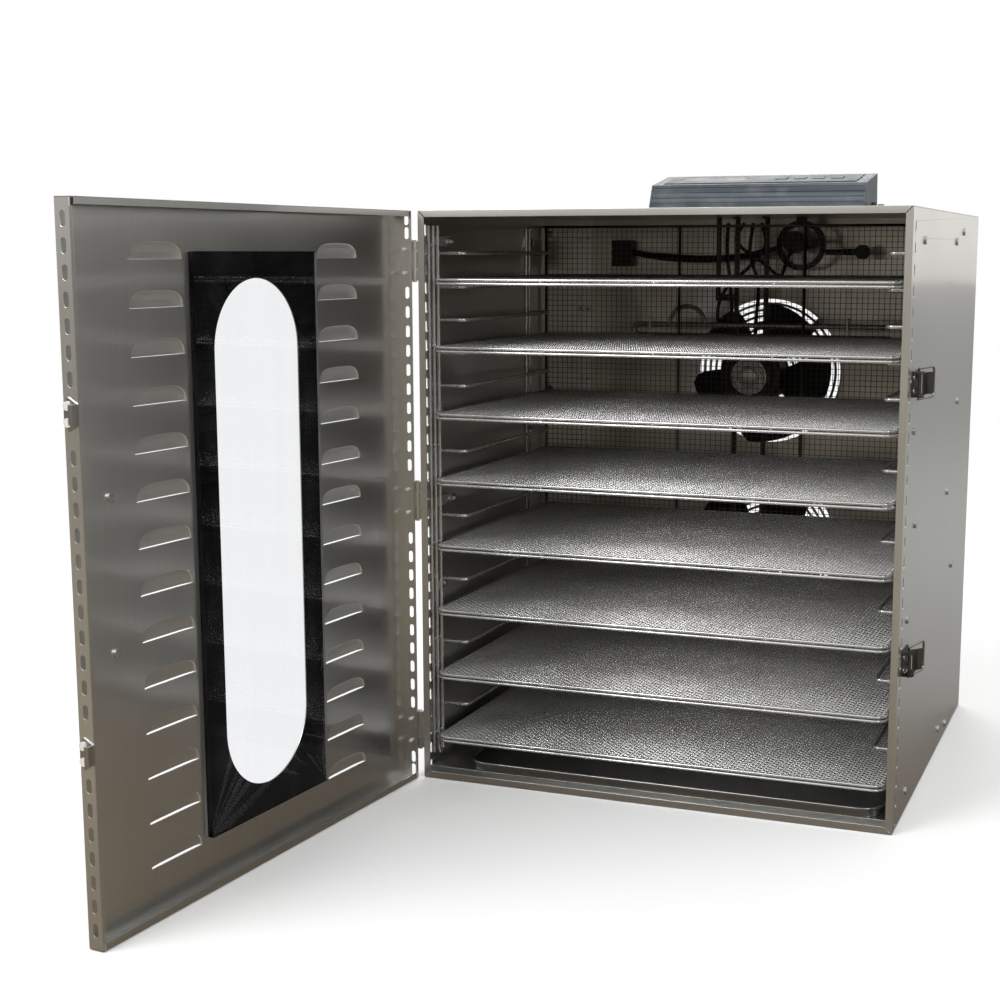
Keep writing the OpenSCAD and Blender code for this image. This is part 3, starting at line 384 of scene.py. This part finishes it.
def console_paint():
    """Slate-blue anodised extrusion, drawn lengthwise."""
    mat, tree, bsdf = new_shader("console_paint", (0.05, 0.06, 0.072), 0.5)
    bsdf.inputs["Specular IOR Level"].default_value = 0.2
    drawn = noise(tree, (4, 200, 200), 3)
    dust = noise(tree, (60,) * 3, 4, 1.7)
    tone = blended(tree, ranged(tree, drawn, 0, 1), (0.026, 0.033, 0.040), (0.10, 0.118, 0.137))
    tree.links.new(blended(tree, ranged(tree, dust, 0, 0.3, 0.5, 0.7), tone, (0.16, 0.17, 0.18)),
                   bsdf.inputs["Base Color"])
    tree.links.new(ranged(tree, drawn, 0.42, 0.58), bsdf.inputs["Roughness"])
    tree.links.new(bumped(tree, drawn, 0.03 * MM), bsdf.inputs["Normal"])
    return mat


def circuit_board():
    """Green board with a faint pattern of tracks."""
    mat, tree, bsdf = new_shader("board", (0.02, 0.11, 0.04), 0.4)
    tracks = noise(tree, (160, 40, 160), 1)
    tree.links.new(blended(tree, ranged(tree, tracks, 0, 1, 0.48, 0.52), (0.015, 0.10, 0.035),
                           (0.04, 0.17, 0.06)), bsdf.inputs["Base Color"])
    tree.links.new(ranged(tree, tracks, 0.35, 0.5), bsdf.inputs["Roughness"])
    return mat


MATERIALS = {
    "cabinet_steel": steel("cabinet_steel", (0.62, 0.615, 0.595), 0.29),
    "door_steel": steel("door_steel", (0.60, 0.595, 0.57), 0.29, wave=1.2 * MM, polish=1.0),
    "pan_steel": steel("pan_steel", (0.16, 0.157, 0.15), 0.30, None, smudge=0.12, polish=0.7),
    "hardware": steel("hardware", (0.50, 0.495, 0.47), 0.29, None, 0.0),
    "fasteners": wire_metal("fasteners", (0.60, 0.595, 0.58), 0.26),
    "bright_wire": wire_metal("bright_wire", (0.62, 0.62, 0.61), 0.19, 0.8),
    "guard_wire": wire_metal("guard_wire", (0.15, 0.13, 0.11), 0.42, 0.9),
    "motor_metal": wire_metal("motor_metal", (0.78, 0.76, 0.72), 0.34, 0.7),
    "heater_tube": wire_metal("heater_tube", (0.46, 0.43, 0.39), 0.30, 0.9),
    "glass": window_glass(),
    "black_seal": moulded("black_seal", (0.0035, 0.0035, 0.004), 0.5, 0.0, specular=0.1),
    "black_plastic": moulded("black_plastic", (0.016, 0.016, 0.018), 0.42),
    "black_rubber": moulded("black_rubber", (0.012, 0.012, 0.012), 0.62),
    "console_paint": console_paint(),
    "panel_plastic": moulded("panel_plastic", (0.075, 0.085, 0.088), 0.5, specular=0.08),
    "display": moulded("display", (0.045, 0.052, 0.055), 0.4, 0.0, specular=0.05),
    "board": circuit_board(),
    "key_plastic": moulded("key_plastic", (0.10, 0.11, 0.115), 0.5, specular=0.05),
}
FLAT_STEEL = steel("cabinet_steel_flat", (0.62, 0.615, 0.595), 0.29, "x")
# Painted shade and painted reflection: a darker, warmer copy of the cabinet steel for the rear panel, standing for
# the shade inside the chamber and the tan floor it mirrors
REAR_STEEL_PAINTED_SHADE = steel("rear_steel_painted_shade", (0.50, 0.475, 0.43), 0.29, wave=4 * MM, polish=1.0)
STRIKE_STEEL = steel("strike_steel", (0.34, 0.33, 0.31), 0.29, None, 0.0)
WHITE_RIVET = wire_metal("white_rivet", (0.92, 0.92, 0.91), 0.3, 0.5)
# Painted shade: the latches are bright steel, but this colour is set near black to stand for their shaded inner
# side, and their grazing rim is dimmed to keep them dark
LATCH_STEEL_PAINTED_SHADE = wire_metal("latch_steel_painted_shade", (0.13, 0.125, 0.115), 0.3, grazing=0.35)
BAIL_WIRE = wire_metal("bail_wire", (0.34, 0.335, 0.32), 0.2, grazing=0.6)
DARK_STRAP = wire_metal("dark_strap", (0.06, 0.055, 0.05), 0.45, 0.8)
MATERIALS_BY_NODE = {
    "top_cover": FLAT_STEEL, "base_pan": FLAT_STEEL, "floor_liner": FLAT_STEEL,
    "latch_bases": LATCH_STEEL_PAINTED_SHADE, "latch_lever_upper": LATCH_STEEL_PAINTED_SHADE, "latch_lever_lower": LATCH_STEEL_PAINTED_SHADE,
    "latch_bail_upper": BAIL_WIRE, "latch_bail_lower": BAIL_WIRE,
    "fan_straps": DARK_STRAP, "rear_panel": REAR_STEEL_PAINTED_SHADE,
    "latch_strikes": STRIKE_STEEL, "door_rivets": WHITE_RIVET,
}


# ---------- shapes ----------

class Shape:
    """Vertices and faces of one piece, gathered before its mesh is made."""

    def __init__(self):
        self.verts = []
        self.faces = []

    def bar(self, path, radius, sides=10, closed=False):
        """Round bar along a path of points."""
        count = len(path)
        first = len(self.verts)
        normal = None
        for i, point in enumerate(path):
            before = path[i - 1] if i > 0 or closed else point
            after = path[(i + 1) % count] if i + 1 < count or closed else point
            tangent = (after - before).normalized()
            if normal is None:
                normal = tangent.orthogonal().normalized()
            normal = (normal - tangent * normal.dot(tangent)).normalized()
            binormal = tangent.cross(normal)
            for k in range(sides):
                turn = 2 * math.pi * k / sides
                self.verts.append(point + radius * (math.cos(turn) * normal + math.sin(turn) * binormal))
        for i in range(count if closed else count - 1):
            a, b = first + i * sides, first + (i + 1) % count * sides
            for k in range(sides):
                m = (k + 1) % sides
                self.faces.append((a + k, a + m, b + m, b + k))
        if not closed:
            self.faces.append(tuple(first + k for k in reversed(range(sides))))
            last = first + (count - 1) * sides
            self.faces.append(tuple(last + k for k in range(sides)))

    def block(self, low, high):
        """Rectangular bar or plate between two corners."""
        first = len(self.verts)
        for x in (low[0], high[0]):
            for y in (low[1], high[1]):
                for z in (low[2], high[2]):
                    self.verts.append(Vector((x, y, z)))
        for face in ((0, 1, 3, 2), (4, 6, 7, 5), (0, 4, 5, 1), (2, 3, 7, 6), (0, 2, 6, 4), (1, 5, 7, 3)):
            self.faces.append(tuple(first + i for i in face))

    def mesh(self, name, smooth=True):
        data = bpy.data.meshes.new(name)
        data.from_pydata(self.verts, [], self.faces)
        data.polygons.foreach_set("use_smooth", [smooth] * len(data.polygons))
        data.update()
        return data


def add_piece(name, data, body, slot, replaced=(), place=(0, 0, 0)):
    """Puts a mesh at a place, as a piece that rides on a body and has a slot's finish."""
    piece = bpy.data.objects.new(name, data)
    bpy.context.scene.collection.objects.link(piece)
    if not data.materials:
        data.materials.append(MATERIALS[slot])
    if replaced:
        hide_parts(*replaced)
    piece.location = place
    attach(piece, body)


def rounded_loop(x0, x1, y0, y1, corner, z, steps=8):
    """Points of a rounded rectangle at height z."""
    points = []
    for cx, cy, start in ((x1 - corner, y1 - corner, 0), (x0 + corner, y1 - corner, 90),
                          (x0 + corner, y0 + corner, 180), (x1 - corner, y0 + corner, 270)):
        for i in range(steps + 1):
            turn = math.radians(start + 90 * i / steps)
            points.append(Vector((cx + corner * math.cos(turn), cy + corner * math.sin(turn), z)))
    return points


def weave(half_x, half_y, pitch, rise, corner=0.0):
    """Paths of a plain weave centred on the origin: wires along X and Y that pass over and under."""
    def places(half):
        count = int(2 * half / pitch)
        return [(i - (count - 1) / 2) * pitch for i in range(count)]

    def reach(half, other_half, other):
        """Half length of a wire, less what the rounded corner takes off it."""
        into = abs(other) - (other_half - corner)
        return half if into <= 0 else half - corner + math.sqrt(max(corner ** 2 - into ** 2, 0))

    xs, ys = places(half_x), places(half_y)
    paths = []
    for j, y in enumerate(ys):
        end = reach(half_x, half_y, y)
        middle = [Vector((x, y, rise * (-1) ** (i + j))) for i, x in enumerate(xs) if abs(x) < end - rise]
        paths.append([Vector((-end, y, 0))] + middle + [Vector((end, y, 0))])
    for i, x in enumerate(xs):
        end = reach(half_y, half_x, x)
        middle = [Vector((x, y, -rise * (-1) ** (i + j))) for j, y in enumerate(ys) if abs(y) < end - rise]
        paths.append([Vector((x, -end, 0))] + middle + [Vector((x, end, 0))])
    return paths


# ---------- CAD nodes that stay ----------

# A large sheet full of slots keeps its sharp edges: rounding them shades its long facets unevenly
SHARP_SHEETS = ("rear_panel",)
WELD_DISTANCE, EDGE_WIDTH, EDGE_ANGLE = 0.01 * MM, 0.3 * MM, math.radians(40)


def finish_node(name, node):
    """Gives a CAD node its material and, by modifiers, slightly rounded edges."""
    node.data.materials.clear()
    node.data.materials.append(MATERIALS_BY_NODE.get(name, MATERIALS[NODE_SLOT[name]]))
    if name in SHARP_SHEETS:
        return
    weld = node.modifiers.new("weld", "WELD")
    weld.merge_threshold = WELD_DISTANCE
    bevel = node.modifiers.new("bevel", "BEVEL")
    bevel.width = EDGE_WIDTH
    bevel.segments = 2
    bevel.limit_method = "ANGLE"
    bevel.angle_limit = EDGE_ANGLE
    normals = node.modifiers.new("normals", "WEIGHTED_NORMAL")
    normals.keep_sharp = False


for node_name, cad_node in frame["nodes"].items():
    finish_node(node_name, cad_node)


# ---------- trays ----------

TRAY_WIRE = 1.5 * MM
TRAY_CORNER = 12 * MM
MESH_PITCH = 3.8 * MM
MESH_WIRE = 0.6 * MM
TRAY_STAY = 1 * MM
TRAY_COUNT = 8


def tray_mesh(low, high):
    """One woven tray about its own middle: two frame wires, stays, cross wires and the mesh."""
    shape = Shape()
    half_x = (high.x - low.x) / 2 - TRAY_WIRE
    half_y = (high.y - low.y) / 2 - TRAY_WIRE
    z_low, z_high = TRAY_WIRE, high.z - low.z - TRAY_WIRE
    for z in (z_low, z_high):
        shape.bar(rounded_loop(-half_x, half_x, -half_y, half_y, TRAY_CORNER, z), TRAY_WIRE, 10, True)
    for y in (-half_y / 3, half_y / 3):
        shape.bar([Vector((-half_x, y, z_low)), Vector((half_x, y, z_low))], TRAY_WIRE)
    for x in (-half_x / 2, 0, half_x / 2):
        for y in (-half_y, half_y):
            shape.bar([Vector((x, y, z_low)), Vector((x, y, z_high))], TRAY_STAY)
    middle = Vector((0, 0, z_high))
    for path in weave(half_x, half_y, MESH_PITCH, MESH_WIRE * 0.95, TRAY_CORNER):
        shape.bar([point + middle for point in path], MESH_WIRE, 4)
    return shape.mesh("tray")


tray_low, tray_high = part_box("tray_1")
tray_data = tray_mesh(tray_low, tray_high)
for number in range(1, TRAY_COUNT + 1):
    node_name = f"tray_{number}"
    tray_low, tray_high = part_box(node_name)
    foot = ((tray_low.x + tray_high.x) / 2, (tray_low.y + tray_high.y) / 2, tray_low.z)
    add_piece(f"woven_{node_name}", tray_data, node_name, "bright_wire", (node_name,), foot)


# ---------- mesh guard ----------

GUARD_PITCH = 6.3 * MM
GUARD_WIRE = 0.45 * MM
GUARD_BAR = 1.6 * MM
GUARD_FOOT, GUARD_HEAD, GUARD_POST_X = 12 * MM, 8 * MM, 75 * MM


def guard_mesh(low, high):
    """Woven guard on a wire frame."""
    shape = Shape()
    mesh_y = low.y + 2 * GUARD_BAR
    z0, z1 = low.z + GUARD_FOOT, high.z - GUARD_HEAD
    middle = Vector(((low.x + high.x) / 2, mesh_y, (z0 + z1) / 2))
    half_x, half_z = (high.x - low.x) / 2 - 1 * MM, (z1 - z0) / 2
    for path in weave(half_x, half_z, GUARD_PITCH, GUARD_WIRE * 0.95):
        shape.bar([middle + Vector((p.x, p.z, p.y)) for p in path], GUARD_WIRE, 4)
    bar_y = mesh_y - GUARD_BAR - GUARD_WIRE
    for z in (z0, z1):
        shape.bar([Vector((-half_x, bar_y, z)), Vector((half_x, bar_y, z))], GUARD_BAR)
    for x in (-half_x + 3 * MM, -GUARD_POST_X, GUARD_POST_X, half_x - 3 * MM):
        shape.bar([Vector((x, bar_y, z0)), Vector((x, bar_y, z1))], GUARD_BAR)
    return shape.mesh("guard_weave")


def flange_mesh(low, high):
    """The two folded flanges of the guard that are screwed to the sides."""
    shape = Shape()
    for x in (low.x, high.x - SHEET):
        shape.block((x, low.y + 2 * GUARD_BAR - 0.5 * MM, low.z), (x + SHEET, high.y, high.z))
    data = shape.mesh("guard_flanges", False)
    data.materials.append(MATERIALS["cabinet_steel"])
    return data


add_piece("guard_weave", guard_mesh(*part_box("mesh_guard")), "cabinet", "guard_wire", ("mesh_guard",))
add_piece("guard_flanges", flange_mesh(*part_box("mesh_guard")), "cabinet", "guard_wire", ("mesh_guard",))


# ---------- door pan ----------

DOOR_JOINT = next(joint for joint in frame["joints"] if joint["name"] == "door_swing")
HINGE = Vector(DOOR_JOINT["pos_m"])
OPEN_ANGLE = math.radians(DOOR_JOINT["range_deg"][0])
DOOR_POSE = Matrix.Translation(HINGE) @ Matrix.Rotation(OPEN_ANGLE, 4, "Z") @ Matrix.Translation(-HINGE)
DOOR_X = (-249.5 * MM, 248.5 * MM)
DOOR_Y = (-266 * MM, -251 * MM)
DOOR_Z = (0.5 * MM, 599.5 * MM)
DOOR_MIDDLE = 300 * MM
LIP_SIDE, LIP_END, LIP_GAP = 3 * MM, 6 * MM, 1.5 * MM
GLASS_X, WINDOW_Z, WINDOW_W, WINDOW_H = 1 * MM, 302 * MM, 126 * MM, 466 * MM
SLOT_W, SLOT_H = 5 * MM, 12 * MM
LOUVRE_X, LOUVRE_Z, LOUVRE_PITCH, LOUVRE_COUNT = (-133 * MM, 135.5 * MM), 40 * MM, 39.4 * MM, 14
LOUVRE_W, LOUVRE_H, LOUVRE_DEEP = 68 * MM, 14 * MM, 4.5 * MM
LATCH_Z = (435 * MM, 165 * MM)
FREE_EDGE_SLOTS, FREE_EDGE_PITCH, LATCH_ROOM = 29, 20.2 * MM, 20 * MM
# Slots of the hinge edge, in millimetres from the door's middle: single ones, and the start of each row
HINGE_EDGE_SINGLES, HINGE_EDGE_START, HINGE_EDGE_PITCH, HINGE_EDGE_ROW = (277, 291), 38.7, 19.8, 10
FREE_EDGE_INSET, HINGE_EDGE_INSET = 7.5 * MM, 5.5 * MM
HANDLE_X, HANDLE_HALF, HANDLE_HOLE = 202.5 * MM, 64 * MM, 2.1 * MM


def obround(x, y, width, height, steps=8):
    """Points of an upright slot with round ends."""
    radius = width / 2
    points = []
    for centre, start in ((y + height / 2 - radius, 0), (y - height / 2 + radius, 180)):
        for i in range(steps + 1):
            turn = math.radians(start + 180 * i / steps)
            points.append((x + radius * math.cos(turn), centre + radius * math.sin(turn)))
    return points


def circle(x, y, radius, steps=16):
    return [(x + radius * math.cos(2 * math.pi * i / steps), y + radius * math.sin(2 * math.pi * i / steps))
            for i in range(steps)]


def rectangle(x0, x1, y0, y1):
    return [(x0, y0), (x1, y0), (x1, y1), (x0, y1)]


def plate(outlines, thickness, edge=0.2 * MM):
    """Mesh of a flat sheet in XY about Z = 0: the first outline less the others, its edges rounded."""
    curve = bpy.data.curves.new("plate", "CURVE")
    curve.dimensions = "2D"
    curve.fill_mode = "BOTH"
    curve.bevel_depth = edge
    curve.bevel_resolution = 1
    curve.offset = -edge
    curve.extrude = thickness / 2 - edge
    for outline in outlines:
        spline = curve.splines.new("POLY")
        spline.points.add(len(outline) - 1)
        for point, (x, y) in zip(spline.points, outline):
            point.co = (x, y, 0, 1)
        spline.use_cyclic_u = True
    carrier = bpy.data.objects.new("plate", curve)
    bpy.context.scene.collection.objects.link(carrier)
    bpy.context.view_layer.update()
    data = bpy.data.meshes.new_from_object(carrier.evaluated_get(bpy.context.evaluated_depsgraph_get()))
    bpy.data.objects.remove(carrier)
    return data


XZ = Matrix(((1, 0, 0, 0), (0, 0, -1, 0), (0, 1, 0, 0), (0, 0, 0, 1)))
YZ = Matrix(((0, 0, 1, 0), (1, 0, 0, 0), (0, 1, 0, 0), (0, 0, 0, 1)))


def louvre_height(u):
    """Height of a louvre's rounded outline at u, which runs from -1 to 1 across it."""
    return LOUVRE_H * (1 - abs(u) ** 4) ** 0.4


def louvre_outline(x, z, steps=28):
    """Points of a louvre's outline: an arch on a straight foot."""
    points = []
    for i in range(steps + 1):
        u = -math.cos(math.pi * i / steps)
        points.append((x + u * LOUVRE_W / 2, z + max(louvre_height(u), 0.01 * MM)))
    return list(reversed(points))


def louvre_hood(x, z, across=28, up=8):
    """Pressed hood outside the skin: open along its foot, blending into the skin above and beside."""
    bm = bmesh.new()
    rows = []
    for j in range(up + 1):
        turn = math.pi / 2 * j / up
        row = []
        for i in range(across + 1):
            u = -math.cos(math.pi * i / across)
            ends = max(1 - abs(u) ** 5, 0) ** 0.5
            row.append(bm.verts.new((x + u * LOUVRE_W / 2,
                                     DOOR_Y[0] - (LOUVRE_DEEP - SHEET) * ends * math.cos(turn),
                                     z + max(louvre_height(u), 0.01 * MM) * math.sin(turn))))
        rows.append(row)
    for j in range(up):
        for i in range(across):
            bm.faces.new((rows[j][i], rows[j][i + 1], rows[j + 1][i + 1], rows[j + 1][i]))
    bmesh.ops.solidify(bm, geom=bm.faces[:], thickness=-0.8 * MM)
    data = bpy.data.meshes.new("louvre")
    bm.to_mesh(data)
    bm.free()
    return data


def free_edge_slots():
    """Heights of the slots in the free edge, which leave room for the latch strikes."""
    middle = FREE_EDGE_SLOTS // 2
    heights = [DOOR_MIDDLE + (i - middle) * FREE_EDGE_PITCH for i in range(FREE_EDGE_SLOTS)]
    return [z for z in heights if min(abs(z - latch) for latch in LATCH_Z) > LATCH_ROOM]


def hinge_edge_slots():
    """Heights of the slots in the hinge edge, which leave room for the hinge leaves."""
    ends = [DOOR_MIDDLE + side * d * MM for side in (-1, 1) for d in HINGE_EDGE_SINGLES]
    return ends + [DOOR_MIDDLE + side * (HINGE_EDGE_START + HINGE_EDGE_PITCH * i) * MM
                   for side in (-1, 1) for i in range(HINGE_EDGE_ROW)]


def merged(parts, name, pose=Matrix.Identity(4), sharp=35):
    """One mesh of several, each carried by its own matrix and then by pose."""
    bm = bmesh.new()
    for data, matrix in parts:
        carried = data.copy()
        carried.transform(pose @ matrix)
        bm.from_mesh(carried)
        bpy.data.meshes.remove(carried)
    out = bpy.data.meshes.new(name)
    bm.to_mesh(out)
    bm.free()
    out.materials.clear()
    out.polygons.foreach_set("use_smooth", [True] * len(out.polygons))
    out.set_sharp_from_angle(angle=math.radians(sharp))
    return out


def door_pan_mesh():
    """Door pan: skin with window, louvres and handle holes, slotted edge walls, returned lips."""
    x0, x1 = DOOR_X
    y0, y1 = DOOR_Y
    z0, z1 = DOOR_Z
    holes = [obround(GLASS_X, WINDOW_Z, WINDOW_W, WINDOW_H, 24)]
    holes += [circle(HANDLE_X, DOOR_MIDDLE + side * HANDLE_HALF, HANDLE_HOLE) for side in (-1, 1)]
    louvres = [(x, LOUVRE_Z + i * LOUVRE_PITCH) for x in LOUVRE_X for i in range(LOUVRE_COUNT)]
    holes += [louvre_outline(x, z) for x, z in louvres]
    skin = plate([rectangle(x0, x1, z0, z1)] + holes, SHEET)
    parts = [(skin, Matrix.Translation((0, y0 + SHEET / 2, 0)) @ XZ)]
    same = Matrix.Identity(4)
    parts += [(louvre_hood(x, z), same) for x, z in louvres]
    for x, slot_y, heights in ((x1 - SHEET / 2, y1 - FREE_EDGE_INSET, free_edge_slots()),
                               (x0 + SHEET / 2, y1 - HINGE_EDGE_INSET, hinge_edge_slots())):
        wall = plate([rectangle(y0 + 0.3 * MM, y1, z0, z1)]
                     + [obround(slot_y, z, SLOT_W, SLOT_H) for z in heights], SHEET)
        parts.append((wall, Matrix.Translation((x, 0, 0)) @ YZ))
    for z in (z0 + SHEET / 2, z1 - SHEET / 2):
        wall = plate([rectangle(x0, x1, y0 + 0.3 * MM, y1)], SHEET)
        parts.append((wall, Matrix.Translation((0, 0, z))))
    gap = LIP_END + LIP_GAP
    for x in (x0, x1 - LIP_SIDE):
        lip = plate([rectangle(x, x + LIP_SIDE, z0 + gap, z1 - gap)], SHEET)
        parts.append((lip, Matrix.Translation((0, y1 - SHEET / 2, 0)) @ XZ))
    gap = LIP_SIDE + LIP_GAP
    for z in (z0, z1 - LIP_END):
        lip = plate([rectangle(x0 + gap, x1 - gap, z, z + LIP_END)], SHEET)
        parts.append((lip, Matrix.Translation((0, y1 - SHEET / 2, 0)) @ XZ))
    return merged(parts, "door_pan_pressed", DOOR_POSE)


add_piece("door_pan_pressed", door_pan_mesh(), "door", "door_steel", ("door_pan",))


# ---------- fans ----------

BLADES = 5
FAN_R = 85.5 * MM
BLADE_ROOT = 18 * MM
# Half angle of a blade, how much wider it is half way out, how far its tip leads, in degrees
BLADE_HALF, BLADE_BELLY, BLADE_LEAD = 27, 2, 10
# Share of the blade's length, from its root, where the corners start to round, and how much they lose
CORNER_START, CORNER_LOSS = 0.85, 0.25
BLADE_RISE, BLADE_HOLLOW, BLADE_SKIN = 11 * MM, 1.5 * MM, 1.6 * MM
# Turn of the first blade, in degrees
FAN_TURN = 16


def lathe(profile, name, steps=64):
    """Mesh of a profile of (radius, y) points turned about the Y axis."""
    shape = Shape()
    for i in range(steps):
        turn = 2 * math.pi * i / steps
        for radius, y in profile:
            shape.verts.append(Vector((radius * math.cos(turn), y, radius * math.sin(turn))))
    count = len(profile)
    for i in range(steps):
        a, b = i * count, (i + 1) % steps * count
        for k in range(count - 1):
            shape.faces.append((a + k, a + k + 1, b + k + 1, b + k))
    return shape.mesh(name)


def blade_mesh(across=12, out=12):
    """One broad moulded blade: pitched, hollow across, with rounded outer corners."""
    bm = bmesh.new()
    rows = []
    for j in range(out + 1):
        share = j / out
        r = BLADE_ROOT + (FAN_R - BLADE_ROOT) * share
        half = math.radians(BLADE_HALF + BLADE_BELLY * math.sin(math.pi * min(share, CORNER_START)))
        if share >= CORNER_START:
            half *= 1 - CORNER_LOSS * ((share - CORNER_START) / (1 - CORNER_START)) ** 2
        row = []
        for i in range(across + 1):
            u = 2 * i / across - 1
            lead = math.radians(BLADE_LEAD) * share
            y = BLADE_RISE * u * (0.55 + 0.45 * share) + BLADE_HOLLOW * (1 - u * u)
            turn = u * half + lead
            row.append(bm.verts.new((r * math.cos(turn), y, r * math.sin(turn))))
        rows.append(row)
    for j in range(out):
        for i in range(across):
            bm.faces.new((rows[j][i], rows[j][i + 1], rows[j + 1][i + 1], rows[j + 1][i]))
    bmesh.ops.solidify(bm, geom=bm.faces[:], thickness=BLADE_SKIN)
    data = bpy.data.meshes.new("blade")
    bm.to_mesh(data)
    bm.free()
    return data


def impeller_mesh(centre):
    """Hub and blades of one impeller."""
    hub = lathe([(p[0] * MM, p[1] * MM) for p in (
        (3.05, -9), (8, -9), (9, -8), (17, -7.5), (20.5, -7), (21.8, -5), (22, 7), (21, 9), (6, 9),
        (3.05, 9), (3.05, -9))], "hub")
    parts = [(hub, Matrix.Identity(4))]
    blade = blade_mesh()
    for i in range(BLADES):
        parts.append((blade, Matrix.Rotation(math.radians(FAN_TURN - 360 * i / BLADES), 4, "Y")))
    return merged(parts, "impeller", Matrix.Translation(centre))


def bell_mesh(centre, front):
    """Turned bell on the front of the motor, with raised rings."""
    profile = [(0.1, 0), (9, 0), (10.5, 0.6), (11, 3)]
    for ring in (13, 16, 19):
        profile += [(ring - 0.9, 3.2), (ring, 4.6), (ring + 0.9, 3.2)]
    profile += [(21.6, 3.4), (22, 4), (22, 11)]
    return merged([(lathe([(r * MM, front + y * MM) for r, y in profile], "bell"), Matrix.Identity(4))],
                  "bell", Matrix.Translation(centre))


def motor_mesh(centre, front, back):
    """Motor body with ribs round it, three arms in front and the shaft behind."""
    profile = [(20, 11), (27, 11), (28, 12.2), (29, 11), (34, 11), (36.6, 11.6), (38, 13)]
    for rib in range(6):
        y = 16 + rib * 4
        profile += [(38, y), (37.2, y + 0.6), (37.2, y + 2), (38, y + 2.6)]
    profile = [(r * MM, front + y * MM) for r, y in profile + [(38, 41), (36, 43), (3, 43)]]
    body = lathe(profile + [(3 * MM, back), (0.1 * MM, back)], "motor")
    arms = Shape()
    for degrees in (90, 210, 330):
        turn = math.radians(degrees)
        along = Vector((math.cos(turn), 0, math.sin(turn)))
        across = Vector((-math.sin(turn), 0, math.cos(turn)))
        for side in (-1, 1):
            path = [Vector((0, front + 14.5 * MM, 0)) + along * (24 + 20 * t) * MM
                    + across * side * (4 - 1.6 * math.sin(math.pi * t)) * MM for t in (0, 0.25, 0.5, 0.75, 1)]
            arms.bar(path, 1.4 * MM)
    data = merged([(body, Matrix.Identity(4)), (arms.mesh("arms"), Matrix.Identity(4))], "motor",
                  Matrix.Translation(centre))
    data.materials.append(DARK_STRAP)
    return data


for place in ("upper", "lower"):
    fan_node, motor_node = f"fan_impeller_{place}", f"fan_motor_{place}"
    axis = next(joint for joint in frame["joints"] if joint["name"] == f"fan_{place}_spin")["pos_m"]
    add_piece(f"moulded_impeller_{place}", impeller_mesh(Vector(axis)), f"fan_{place}",
              "black_plastic", (fan_node,))
    motor_low, motor_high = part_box(motor_node)
    middle = Vector((0, 0, axis[2]))
    add_piece(f"ribbed_motor_{place}", motor_mesh(middle, motor_low.y, motor_high.y), "cabinet",
              "motor_metal", (motor_node,))
    add_piece(f"ringed_bell_{place}", bell_mesh(middle, motor_low.y), "cabinet", "motor_metal",
              (motor_node,))


# ---------- wiring ----------

def smooth_path(points, steps=8):
    """Catmull-Rom curve through points given in millimetres."""
    ends = [points[0]] + list(points) + [points[-1]]
    ends = [Vector(p) * MM for p in ends]
    path = []
    for a, b, c, d in zip(ends, ends[1:], ends[2:], ends[3:]):
        for i in range(steps):
            t = i / steps
            path.append(0.5 * (2 * b + (c - a) * t + (2 * a - 5 * b + 4 * c - d) * t ** 2
                               + (3 * b - a - 3 * c + d) * t ** 3))
    path.append(ends[-1])
    return path


LOOM_WIRE_R, MOTOR_LEAD_R = 2.1 * MM, 2.2 * MM
# Routes in millimetres
LOOM_WIRES = (
    [(-179, 238, 559), (-150, 231, 555), (-90, 218, 552), (-30, 202, 554), (21, 190, 564)],
    [(-179, 240, 556), (-140, 229, 550), (-80, 214, 547), (-25, 199, 551), (21, 191, 561)],
    [(-179, 236, 556), (-145, 227, 552), (-85, 214, 550), (-30, 198, 550), (21, 188, 562)],
)
MOTOR_LEADS = (
    [(-30, 150, 592), (-32, 152, 560), (-28, 156, 520), (-24, 158, 470), (-16, 160, 440)],
    [(0, 152, 592), (-4, 154, 556), (6, 157, 520), (4, 160, 482), (2, 164, 447)],
    [(10, 152, 592), (14, 156, 566), (-6, 158, 540), (-34, 160, 515), (-46, 166, 480), (-30, 168, 434)],
    [(-12, 156, 592), (-22, 160, 570), (10, 164, 545), (30, 168, 530), (36, 174, 548), (42, 180, 560)],
)


def wires_mesh(routes, radius, name):
    """Round wires along their routes."""
    shape = Shape()
    for route in routes:
        shape.bar(smooth_path(route), radius, 8)
    return shape.mesh(name)


add_piece("loom_wires", wires_mesh(LOOM_WIRES, LOOM_WIRE_R, "loom_wires"), "cabinet",
          NODE_SLOT["wiring_loom"], ("wiring_loom",))
add_piece("motor_leads", wires_mesh(MOTOR_LEADS, MOTOR_LEAD_R, "motor_leads"), "cabinet",
          NODE_SLOT["wiring_loom"])
